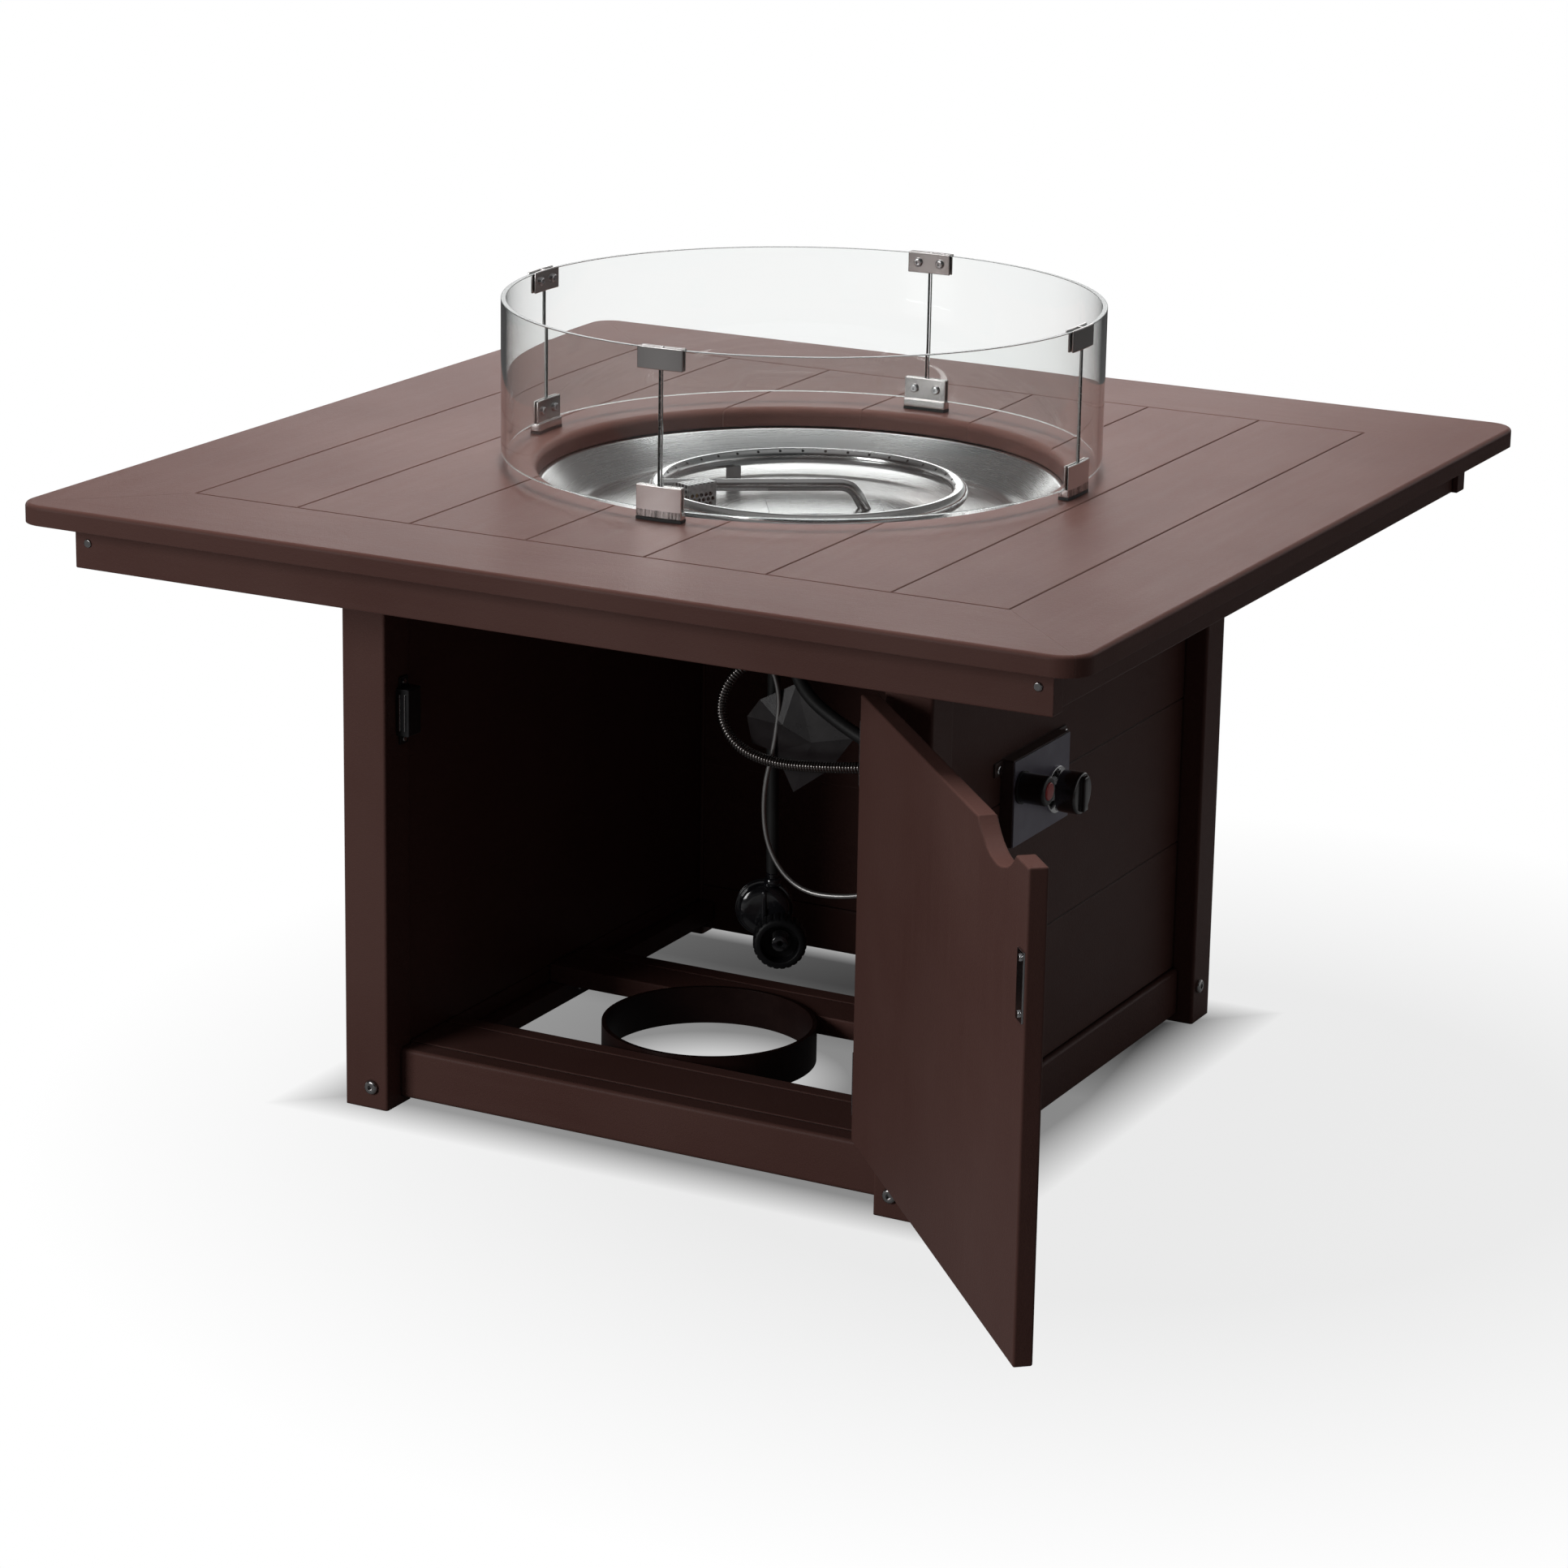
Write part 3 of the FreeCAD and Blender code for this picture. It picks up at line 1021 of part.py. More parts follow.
def make_burner():
    """Build the pan, the ring burner with its feed tube, and the pilot with its shield."""
    wall = [(PAN_MOUTH_RADIUS, TOP_UNDERSIDE - PAN_SHEET / 2), (PAN_FLOOR_RADIUS + 6, PAN_FLOOR_TOP + 4),
            (PAN_FLOOR_RADIUS, PAN_FLOOR_TOP), (PAN_DISH_RADIUS, PAN_FLOOR_TOP),
            (PAN_DISH_RADIUS - 5, PAN_FLOOR_TOP - PAN_DISH_DROP), (0, PAN_FLOOR_TOP - PAN_DISH_DROP)]
    upper = [(PAN_RIM_RADIUS, TOP_UNDERSIDE), (PAN_MOUTH_RADIUS, TOP_UNDERSIDE)] + wall
    lower = [(r, z - PAN_SHEET) for r, z in reversed(wall[1:])]
    lower += [(PAN_MOUTH_RADIUS + 1, TOP_UNDERSIDE - PAN_SHEET), (PAN_RIM_RADIUS, TOP_UNDERSIDE - PAN_SHEET)]
    pan = turned(upper + lower)

    wire, along, down, end = feed_path()
    feed_solid = sweep(wire, FEED_RADIUS)
    feed_bore = sweep(wire, FEED_RADIUS - FEED_WALL)
    burner_centre = BURNER_AXIS + Z_AXIS * BURNER_HEIGHT
    torus = Part.makeTorus(BURNER_RADIUS, BURNER_TUBE_RADIUS, burner_centre, Z_AXIS)
    hollow = Part.makeTorus(BURNER_RADIUS, BURNER_TUBE_RADIUS - BURNER_WALL, burner_centre, Z_AXIS)
    lift = math.radians(PORT_ANGLE)
    ports = []
    for index in range(PORT_COUNT):
        turn = math.radians(FIRST_PORT_BEARING + index * 360 / PORT_COUNT)
        radial = Vec(math.cos(turn), math.sin(turn), 0)
        out = radial * -math.cos(lift) + Z_AXIS * math.sin(lift)
        centre = burner_centre + radial * BURNER_RADIUS
        ports.append(rod(PORT_RADIUS, centre + out * 4, out, BURNER_TUBE_RADIUS))
    ring = torus.cut(hollow).cut(group(ports)).cut(feed_bore)
    feed = feed_solid.cut(feed_bore).cut(torus)

    foot = block(0, BRACKET_FOOT, -BRACKET_WIDTH / 2, BRACKET_WIDTH / 2, PAN_FLOOR_TOP - PAN_DISH_DROP,
                 PAN_FLOOR_TOP - PAN_DISH_DROP + BRACKET_SHEET)
    plate = block(0, BRACKET_SHEET, -BRACKET_WIDTH / 2, BRACKET_WIDTH / 2, PAN_FLOOR_TOP - PAN_DISH_DROP,
                  BURNER_HEIGHT)
    bracket = foot.fuse(plate)
    bracket.translate(Vec(-BURNER_RADIUS - BRACKET_SHEET / 2, 0, 0))
    bracket.rotate(ORIGIN, Z_AXIS, BRACKET_BEARING - 180)
    bracket.translate(BURNER_AXIS)

    plate_across = Vec(COVER_BACK_LEFT[0] - COVER_FRONT_LEFT[0], COVER_BACK_LEFT[1] - COVER_FRONT_LEFT[1], 0)
    plate_across.normalize()
    plate_along = Vec(plate_across.y, -plate_across.x, 0)
    corner = Vec(COVER_FRONT_LEFT[0], COVER_FRONT_LEFT[1], 0)
    corners = [corner, corner + plate_along * COVER_LENGTH,
               corner + plate_along * COVER_LENGTH + plate_across * COVER_WIDTH, corner + plate_across * COVER_WIDTH]
    cover_low = PAN_FLOOR_TOP - PAN_DISH_DROP
    cover = prism([(c.x, c.y) for c in corners], cover_low, cover_low + COVER_THICKNESS).cut(feed_solid)

    shield_turn = math.radians(SHIELD_BEARING)
    shield_along = Vec(math.cos(shield_turn), math.sin(shield_turn), 0)
    inward = Vec(-shield_along.y, shield_along.x, 0)
    base = Vec(SHIELD_FRONT_LEFT[0], SHIELD_FRONT_LEFT[1], 0) + shield_along * SHIELD_LENGTH + inward * SHIELD_DEPTH
    height = SHIELD_TOP - SHIELD_BOTTOM
    shell = block(-SHIELD_LENGTH, 0, -SHIELD_DEPTH, 0, SHIELD_BOTTOM, SHIELD_TOP)
    shell = shell.makeFillet(SHIELD_FRONT_ROUND, edges_where(shell, lambda p: near(p.z, SHIELD_TOP)
                                                             and near(p.y, -SHIELD_DEPTH)))
    shell = shell.makeFillet(SHIELD_BACK_ROUND, edges_where(shell, lambda p: near(p.z, SHIELD_TOP)
                                                            and near(p.y, 0)))
    core = block(-SHIELD_LENGTH + SHIELD_SHEET, -SHIELD_SHEET, -SHIELD_DEPTH + SHIELD_SHEET, -SHIELD_SHEET,
                 SHIELD_BOTTOM - 1, SHIELD_TOP - SHIELD_SHEET)
    core = core.makeFillet(SHIELD_BACK_ROUND - SHIELD_SHEET,
                           edges_where(core, lambda p: near(p.z, SHIELD_TOP - SHIELD_SHEET)
                                       and near(p.y, -SHIELD_SHEET)))
    back_plate = block(-SHIELD_LENGTH, 0, -SHIELD_SHEET, 0, cover_low, SHIELD_BOTTOM + 1)
    shield = shell.cut(core).fuse(back_plate)
    holes = []
    rows = int((height - 6) / (SHIELD_HOLE_PITCH * 0.87))
    columns = int((SHIELD_LENGTH - 5) / SHIELD_HOLE_PITCH)
    for row in range(rows):
        shift = 0.5 * (row % 2)
        for column in range(columns):
            x = -SHIELD_LENGTH + 4.5 + (column + shift) * SHIELD_HOLE_PITCH
            z = SHIELD_BOTTOM + 4 + row * SHIELD_HOLE_PITCH * 0.87
            if x < -3.2 and z < SHIELD_TOP - 5:
                holes.append(rod(SHIELD_HOLE_RADIUS, Vec(x, -SHIELD_DEPTH - 1, z), Y_AXIS, SHIELD_SHEET + 2))
    shield = shield.cut(group(holes))
    shield.rotate(ORIGIN, Z_AXIS, SHIELD_BEARING)
    shield.translate(base)
    pilot_at = base - shield_along * (SHIELD_LENGTH / 2) - inward * (SHIELD_DEPTH / 2)
    pilot = rod(PILOT_RADIUS, Vec(pilot_at.x, pilot_at.y, PILOT_BOTTOM), Z_AXIS, PILOT_TOP - PILOT_BOTTOM)
    pilot_nut = hex_bar(PILOT_NUT_RADIUS, Vec(pilot_at.x, pilot_at.y, cover_low - PAN_SHEET - PILOT_NUT_LENGTH),
                        Z_AXIS, PILOT_NUT_LENGTH)
    pilot = pilot.fuse(pilot_nut)

    inlet = hex_bar(FITTING_RADIUS, end - down * 6, down, FITTING_LENGTH).cut(feed_bore)
    inlet_end = end + down * (FITTING_LENGTH - 6)
    save("burner_pan", pan.cut(feed_solid).cut(pilot).cut(pan_screws()))
    save("burner_ring", ring.cut(bracket))
    save("burner_feed_tube", feed.fuse(inlet))
    save("burner_bracket", bracket)
    save("pan_cover_plate", cover)
    save("pilot_shield", shield)
    save("pilot_burner", pilot)
    return inlet_end, down, Vec(pilot_at.x, pilot_at.y, PILOT_BOTTOM)


def place_regulator(shape):
    """Turn and move a piece from the regulator's own axes to where it hangs."""
    shape.rotate(ORIGIN, Z_AXIS, REGULATOR_TURN)
    shape.translate(Vec(*REGULATOR_AT))
    return shape


def make_regulator():
    """Build the regulator and its hand nut. Its face looks along its own -Y axis."""
    back = REGULATOR_DEPTH / 2
    body = rod(REGULATOR_CORE_RADIUS, Vec(0, back, 0), -Y_AXIS, REGULATOR_DEPTH)
    for start in (back - REGULATOR_RIM_GAP, back - REGULATOR_RIM_GAP * 2 - REGULATOR_RIM):
        body = body.fuse(rod(REGULATOR_RADIUS, Vec(0, start, 0), -Y_AXIS, REGULATOR_RIM))
    rib = block(-REGULATOR_RIB_WIDTH / 2, REGULATOR_RIB_WIDTH / 2, -back - REGULATOR_RIB_DEPTH, -back + 1,
                -REGULATOR_RIB_HEIGHT / 2, REGULATOR_RIB_HEIGHT / 2)
    body = body.fuse(rib)
    stub = rod(OUTLET_RADIUS, Vec(OUTLET_SIDE_STEP, 0, 0), Z_AXIS, OUTLET_TOP)
    collar = hex_bar(FITTING_RADIUS, Vec(OUTLET_SIDE_STEP, 0, REGULATOR_CORE_RADIUS - 2), Z_AXIS, 8)
    ridge = rod(OUTLET_RADIUS + 1.5, Vec(OUTLET_SIDE_STEP, 0, OUTLET_TOP - 3), Z_AXIS, 2)
    body = body.fuse(stub).fuse(collar).fuse(ridge)
    inlet = Vec(INLET_SIDE_STEP, -back + 2, -INLET_DROP)
    boss_end = inlet - Y_AXIS * INLET_BOSS_LENGTH
    body = body.fuse(rod(INLET_BOSS_RADIUS, inlet + Y_AXIS * (REGULATOR_DEPTH - 4), -Y_AXIS,
                         INLET_BOSS_LENGTH + REGULATOR_DEPTH - 4))
    body = body.fuse(rod(INLET_STUB_RADIUS, boss_end, -Y_AXIS, INLET_STUB_LENGTH))
    nut_back = boss_end - Y_AXIS * EASY_CLEARANCE
    wall_front = nut_back - Y_AXIS * (HAND_NUT_BACK_WALL + EASY_CLEARANCE)
    body = body.fuse(rod(INLET_COLLAR_RADIUS, wall_front, -Y_AXIS, INLET_COLLAR_LENGTH))
    body = body.cut(rod(INLET_BORE_RADIUS, boss_end - Y_AXIS * INLET_STUB_LENGTH, Y_AXIS, INLET_STUB_LENGTH))

    nut = rod(HAND_NUT_RADIUS, nut_back, -Y_AXIS, HAND_NUT_LENGTH)
    nut = nut.makeFillet(3.0, [e for e in nut.Edges if e.Closed])
    nut = nut.cut(rod(HAND_NUT_CAVITY_RADIUS, nut_back - Y_AXIS * HAND_NUT_BACK_WALL, -Y_AXIS, HAND_NUT_LENGTH))
    nut = nut.cut(rod(INLET_STUB_RADIUS + RUNNING_CLEARANCE, nut_back, -Y_AXIS, HAND_NUT_LENGTH))
    flutes = []
    for index in range(HAND_NUT_FLUTES):
        turn = math.radians(index * 360 / HAND_NUT_FLUTES)
        at = nut_back + Vec(HAND_NUT_RADIUS * math.cos(turn), 0, HAND_NUT_RADIUS * math.sin(turn))
        flutes.append(rod(HAND_NUT_FLUTE_RADIUS, at + Y_AXIS, -Y_AXIS, HAND_NUT_LENGTH + 2))
    nut = nut.cut(group(flutes))
    save("regulator", place_regulator(body))
    save("hand_nut", place_regulator(nut))
    outlet = place_regulator(Part.Vertex(OUTLET_SIDE_STEP, 0, OUTLET_TOP))
    return outlet.Point


def make_hoses(armour_port, supply_port, pilot_port, inlet_end, down, pilot_foot, outlet):
    """Build the armoured hose, the supply hose with its tag, and the pilot tube."""
    armour_end = armour_port - X_AXIS * (NIPPLE_LENGTH / 2)
    lead = inlet_end + down * 50
    points = [tuple(inlet_end), tuple(lead), (74.0, 62.0, 446.0)] + list(ARMOUR_POINTS) + [tuple(armour_end)]
    save("armoured_hose", ribbed_hose(points, "armoured_hose"))
    supply_end = supply_port - X_AXIS * (NIPPLE_LENGTH / 2)
    points = [tuple(outlet)] + list(SUPPLY_POINTS) + [tuple(supply_end)]
    save("supply_hose", plain_hose(points, "supply_hose", SUPPLY_RADIUS, SUPPLY_BORE_RADIUS))
    pilot_end = pilot_port - Z_AXIS * (NIPPLE_LENGTH / 2)
    pilot_lead = pilot_foot - Z_AXIS * PILOT_TUBE_DROP
    points = [tuple(pilot_foot), tuple(pilot_lead)] + list(PILOT_TUBE_POINTS) + [tuple(pilot_end)]
    save("pilot_tube", plain_hose(points, "pilot_tube", PILOT_TUBE_RADIUS, PILOT_TUBE_BORE_RADIUS))
    tag_front = -51.0 + SUPPLY_RADIUS
    corners = [Vec(x, tag_front, z) for x, z in TAG_OUTLINE]
    tag = Part.Face(Part.makePolygon(corners + corners[:1])).extrude(Vec(0, TAG_THICKNESS, 0))
    save("hose_tag", tag)


def sector(inner, outer, z0, z1, start, sweep_angle):
    """Return part of a ring between two bearings."""
    face = Part.Face(Part.makePolygon([Vec(inner, 0, z0), Vec(outer, 0, z0), Vec(outer, 0, z1),
                                       Vec(inner, 0, z1), Vec(inner, 0, z0)]))
    solid = face.revolve(ORIGIN, Z_AXIS, sweep_angle)
    solid.rotate(ORIGIN, Z_AXIS, start)
    return solid


def make_guard():
    """Build the four glass panels, the clips at their joints, the clip screws and the pads."""
    half_gap = math.degrees(GLASS_JOINT_GAP / 2 / GUARD_RADIUS)
    panels = []
    for start in GUARD_JOINTS:
        panels.append(sector(GUARD_INNER, GUARD_RADIUS, GLASS_BOTTOM, GLASS_TOP, start + half_gap, 90 - 2 * half_gap))
    save("glass_panels", group(panels))

    half_clip = math.degrees(CLIP_WIDTH / 2 / GUARD_RADIUS)
    half_web = math.degrees((GLASS_JOINT_GAP / 2 - 0.3) / GUARD_RADIUS)

    def clips(z0, z1, screw_height):
        made = []
        screws = []
        for joint in GUARD_JOINTS:
            outside = sector(GUARD_RADIUS, GUARD_RADIUS + CLIP_SHEET, z0, z1, joint - half_clip, 2 * half_clip)
            inside = sector(GUARD_INNER - CLIP_SHEET, GUARD_INNER, z0, z1, joint - half_clip, 2 * half_clip)
            web = sector(GUARD_INNER - CLIP_SHEET / 2, GUARD_RADIUS + CLIP_SHEET / 2, z0, z1,
                         joint - half_web, 2 * half_web)
            clip = outside.fuse(web).fuse(inside)
            if z0 < GLASS_BOTTOM:
                clip = clip.fuse(sector(GUARD_INNER - CLIP_SHEET - CLIP_FOOT_STEP, GUARD_RADIUS + CLIP_SHEET,
                                        z0, GLASS_BOTTOM, joint - half_clip, 2 * half_clip))
            for side in (-1, 1):
                bearing = math.radians(joint) + side * CLIP_SCREW_SPACING / 2 / GUARD_INNER
                radial = Vec(math.cos(bearing), math.sin(bearing), 0)
                at = radial * (GUARD_INNER - CLIP_SHEET) + Z_AXIS * screw_height
                screw = button_head(at, radial * -1, CLIP_SCREW_HEAD_RADIUS, CLIP_SCREW_HEAD_HEIGHT,
                                    CLIP_SCREW_RADIUS, CLIP_SHEET, CLIP_SOCKET_RADIUS, CLIP_SOCKET_DEPTH)
                clip = clip.cut(screw)
                screws.append(screw)
            made.append(clip)
        return made, screws

    upper, upper_screws = clips(UPPER_CLIP_TOP - UPPER_CLIP_HEIGHT, UPPER_CLIP_TOP,
                                UPPER_CLIP_TOP - UPPER_CLIP_HEIGHT / 2)
    lower, lower_screws = clips(CLIP_BOTTOM, CLIP_BOTTOM + LOWER_CLIP_HEIGHT, CLIP_BOTTOM + LOWER_SCREW_RISE)
    save("guard_clips_upper", group(upper))
    save("guard_clips_lower", group(lower))
    save("guard_clip_screws", group(upper_screws + lower_screws))
    pads = []
    for joint in GUARD_JOINTS:
        pads.append(sector(GUARD_INNER - CLIP_SHEET - CLIP_FOOT_STEP, GUARD_RADIUS + CLIP_SHEET, TOP_HEIGHT,
                           CLIP_BOTTOM, joint - half_clip, 2 * half_clip))
    save("guard_pads", group(pads))


def main():
    """Write every sub-part."""
    os.makedirs("parts", exist_ok=True)
    make_top()
    make_aprons()
    make_frame()
    make_walls()
    make_floor()
    make_door()
    make_catch()
    armour_port, supply_port, pilot_port = make_controls()
    inlet_end, down, pilot_foot = make_burner()
    outlet = make_regulator()
    screws = apron_screws().Solids + cleat_screws().Solids + catch_screws().Solids + pan_screws().Solids
    save("cabinet_screws", group(screws))
    make_hoses(armour_port, supply_port, pilot_port, inlet_end, down, pilot_foot, outlet)
    make_guard()


main()
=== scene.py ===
"""Dress the fire pit table for its picture.

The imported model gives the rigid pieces. This file gives them their finishes, puts smooth
turned, bent and blown forms in place of the plain ones, lays the three hoses, and sets up
the floor, the lamps and the camera. All lengths are in metres.
"""
import logging
import math
from dataclasses import dataclass
from enum import Enum
from typing import Dict, Iterable, Optional, Sequence, Tuple

import bmesh
import bpy
import numpy as np
from mathutils import Matrix


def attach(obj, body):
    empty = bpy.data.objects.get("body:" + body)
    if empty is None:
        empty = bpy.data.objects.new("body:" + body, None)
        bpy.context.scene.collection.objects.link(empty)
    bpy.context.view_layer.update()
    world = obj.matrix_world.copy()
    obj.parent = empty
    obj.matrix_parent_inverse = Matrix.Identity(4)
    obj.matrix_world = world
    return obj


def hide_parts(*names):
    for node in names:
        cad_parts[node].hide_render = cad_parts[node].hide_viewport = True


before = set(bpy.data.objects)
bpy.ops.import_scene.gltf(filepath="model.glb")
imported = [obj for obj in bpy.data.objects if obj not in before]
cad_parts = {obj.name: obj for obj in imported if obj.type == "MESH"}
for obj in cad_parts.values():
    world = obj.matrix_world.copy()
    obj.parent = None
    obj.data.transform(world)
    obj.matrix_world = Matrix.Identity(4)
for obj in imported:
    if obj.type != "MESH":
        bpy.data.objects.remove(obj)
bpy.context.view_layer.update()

log = logging.getLogger("fire_pit_table")

Triple = Tuple[float, float, float]
Colour = Tuple[float, float, float]
Profile = Tuple[Tuple[float, float], ...]
Span = Tuple[float, float, float, float]
Socket = bpy.types.NodeSocket
Palette = Dict[str, bpy.types.Material]
TAU = 2.0 * math.pi
HEXAGON_HALF = math.radians(30.0)
RIGHT, FRONT, UP = (1.0, 0.0, 0.0), (0.0, -1.0, 0.0), (0.0, 0.0, 1.0)


# ---------------------------------------------------------------------------
# Shapes: every one is a grid of points, worked out as a whole array
# ---------------------------------------------------------------------------

def unit(vector: Sequence[float]) -> np.ndarray:
    """Return a vector made one long."""
    array = np.asarray(vector, dtype=float)
    return array / np.linalg.norm(array)


def across(axis: np.ndarray) -> Tuple[np.ndarray, np.ndarray]:
    """Return two unit vectors square to an axis and to each other."""
    helper = np.array(UP) if abs(axis[2]) < 0.9 else np.array(RIGHT)
    first = unit(np.cross(helper, axis))
    return first, np.cross(axis, first)


def linked(name: str, data: bpy.types.ID) -> bpy.types.Object:
    """Return a new object of the scene that shows a mesh, a curve, a lamp or a camera."""
    piece = bpy.data.objects.new(name, data)
    bpy.context.scene.collection.objects.link(piece)
    return piece


def skin(name: str, grids: Sequence[np.ndarray], round_u: bool = True,
         sharp_degrees: float = 35.0) -> bpy.types.Object:
    """Make one closed piece from grids of points.

    Point (i, j) of a grid is joined to (i + 1, j) and (i, j + 1) by four-sided faces, and the
    last column joins the first.

    Args:
        name: the piece's name.
        grids: arrays of shape (rows, columns, 3).
        round_u: whether the last row joins the first too. If it doesn't, one many-sided face
            closes each end that has a width.
        sharp_degrees: edges that turn more than this stay sharp.

    Returns:
        The new object, at the origin.
    """
    points, faces, base = [], [], 0
    for grid in grids:
        rows, columns = grid.shape[:2]
        index = np.arange(rows * columns).reshape(rows, columns) + base
        wide = np.concatenate([index, index[:1]]) if round_u else index
        wide = np.concatenate([wide, wide[:, :1]], axis=1)
        quads = np.stack([wide[:-1, :-1], wide[1:, :-1], wide[1:, 1:], wide[:-1, 1:]], axis=-1)
        faces += quads.reshape(-1, 4).tolist()
        if not round_u:
            ends = [(grid[0], index[0]), (grid[-1], index[-1])]
            faces += [places.tolist() for rim, places in ends if np.ptp(rim, axis=0).max() > 1e-7]
        points.append(grid.reshape(-1, 3))
        base += rows * columns
    mesh = bpy.data.meshes.new(name)
    mesh.from_pydata(np.concatenate(points).tolist(), [], faces)
    work = bmesh.new()
    work.from_mesh(mesh)
    bmesh.ops.remove_doubles(work, verts=work.verts, dist=1e-6)
    bmesh.ops.recalc_face_normals(work, faces=work.faces)
    work.to_mesh(mesh)
    work.free()
    mesh.shade_smooth()
    mesh.set_sharp_from_angle(angle=math.radians(sharp_degrees))
    return linked(name, mesh)


def filleted(points: Sequence[Tuple[float, float]], radii: Sequence[float],
             steps: int = 5) -> np.ndarray:
    """Return a profile whose inner corners are rounded.

    Each corner becomes a curve of the second degree from a point on the side before it to a
    point on the side after it: (1 - t)^2 * start + 2 * t * (1 - t) * corner + t^2 * end.

    Args:
        points: the profile's corners.
        radii: how far from each inner corner its rounding starts.
        steps: how many pieces each rounding has.

    Returns:
        The rounded profile.
    """
    rail = np.asarray(points, dtype=float)
    t = np.linspace(0.0, 1.0, steps + 1)[:, None]
    rows = [rail[:1]]
    for before, corner, after, radius in zip(rail, rail[1:], rail[2:], radii):
        start = corner + (before - corner) * min(0.5, radius / np.linalg.norm(before - corner))
        end = corner + (after - corner) * min(0.5, radius / np.linalg.norm(after - corner))
        rows.append((1 - t) ** 2 * start + 2 * t * (1 - t) * corner + t ** 2 * end)
    return np.concatenate(rows + [rail[-1:]])


def turned_grid(profile: Sequence[Tuple[float, float]], centre: Sequence[float],
                axis: Sequence[float], steps: int = 96,
                swell: Optional[np.ndarray] = None) -> np.ndarray:
    """Return a turned form: each (radius, height) of the profile swung round an axis.

    Point = centre + axis * height + (radius + swell) * (first * cos(turn) + second * sin(turn)),
    where swell, if given, has one row for each point of the profile and one column for each step.
    """
    rail = np.asarray(profile, dtype=float)
    line = unit(axis)
    first, second = across(line)
    turn = np.linspace(0.0, TAU, steps, endpoint=False)
    spoke = np.cos(turn)[:, None] * first + np.sin(turn)[:, None] * second
    middle = np.asarray(centre, dtype=float) + rail[:, 1, None] * line
    reach = rail[:, 0, None] + (0.0 if swell is None else swell)
    return middle[:, None, :] + reach[..., None] * spoke[None, :, :]


def bar_grid(centres: np.ndarray, halves: np.ndarray, side: Sequence[float],
             front: Sequence[float], steps: int = 32, square: float = 5.0) -> np.ndarray:
    """Return a bar with a rounded oblong section carried through a row of centres.

    Point = centre + side * half_side * c + front * half_front * s, where c and s are the cosine
    and sine of the turn, each with its size to the power 2 / square.
    """
    turn = np.linspace(0.0, TAU, steps, endpoint=False)
    c, s = (np.sign(wave) * np.abs(wave) ** (2.0 / square) for wave in (np.cos(turn), np.sin(turn)))
    return (np.asarray(centres, dtype=float)[:, None, :]
            + (halves[:, 0, None] * c)[..., None] * np.asarray(side, dtype=float)
            + (halves[:, 1, None] * s)[..., None] * np.asarray(front, dtype=float))


def turned_about_z(grid: np.ndarray, degrees: float, place: Sequence[float]) -> np.ndarray:
    """Return points swung round the upright axis by an angle and then moved to a place."""
    angle = math.radians(degrees)
    spin = np.array([[math.cos(angle), math.sin(angle), 0.0],
                     [-math.sin(angle), math.cos(angle), 0.0],
                     [0.0, 0.0, 1.0]])
    return grid @ spin + np.asarray(place, dtype=float)


def tube_grid(path: np.ndarray, radius: np.ndarray, sides: int,
              hint: Sequence[float]) -> np.ndarray:
    """Return a tube: a circle of the given radius carried square along a path.

    The heading is the central difference of the path. The circle's first spoke is the hint
    made square to the heading, so that the tube doesn't twist.
    """
    heading = np.gradient(path, axis=0)
    heading /= np.linalg.norm(heading, axis=1, keepdims=True)
    guide = np.asarray(hint, dtype=float)
    first = guide - heading * (heading @ guide)[:, None]
    first /= np.linalg.norm(first, axis=1, keepdims=True)
    second = np.cross(heading, first)
    turn = np.linspace(0.0, TAU, sides, endpoint=False)
    spoke = (np.cos(turn)[None, :, None] * first[:, None, :]
             + np.sin(turn)[None, :, None] * second[:, None, :])
    return path[:, None, :] + np.broadcast_to(radius, len(path))[:, None, None] * spoke


def walk(path: np.ndarray, places: np.ndarray) -> np.ndarray:
    """Return the points at given distances along a path of close points."""
    steps = np.linalg.norm(np.diff(path, axis=0), axis=1)
    reach = np.concatenate([[0.0], np.cumsum(steps)])
    return np.stack([np.interp(places, reach, path[:, i]) for i in range(3)], axis=1)


def path_length(path: np.ndarray) -> float:
    """Return the length of a path of close points."""
    return float(np.linalg.norm(np.diff(path, axis=0), axis=1).sum())


# ---------------------------------------------------------------------------
# Finishes
# ---------------------------------------------------------------------------

class GrainRun(Enum):
    """The way that the fine drawn lines of a board or a sheet run."""

    ALONG_X = (6.0, 90.0, 90.0)
    ALONG_Y = (90.0, 6.0, 90.0)
    ALONG_Z = (90.0, 90.0, 6.0)
    NONE = (60.0, 60.0, 60.0)


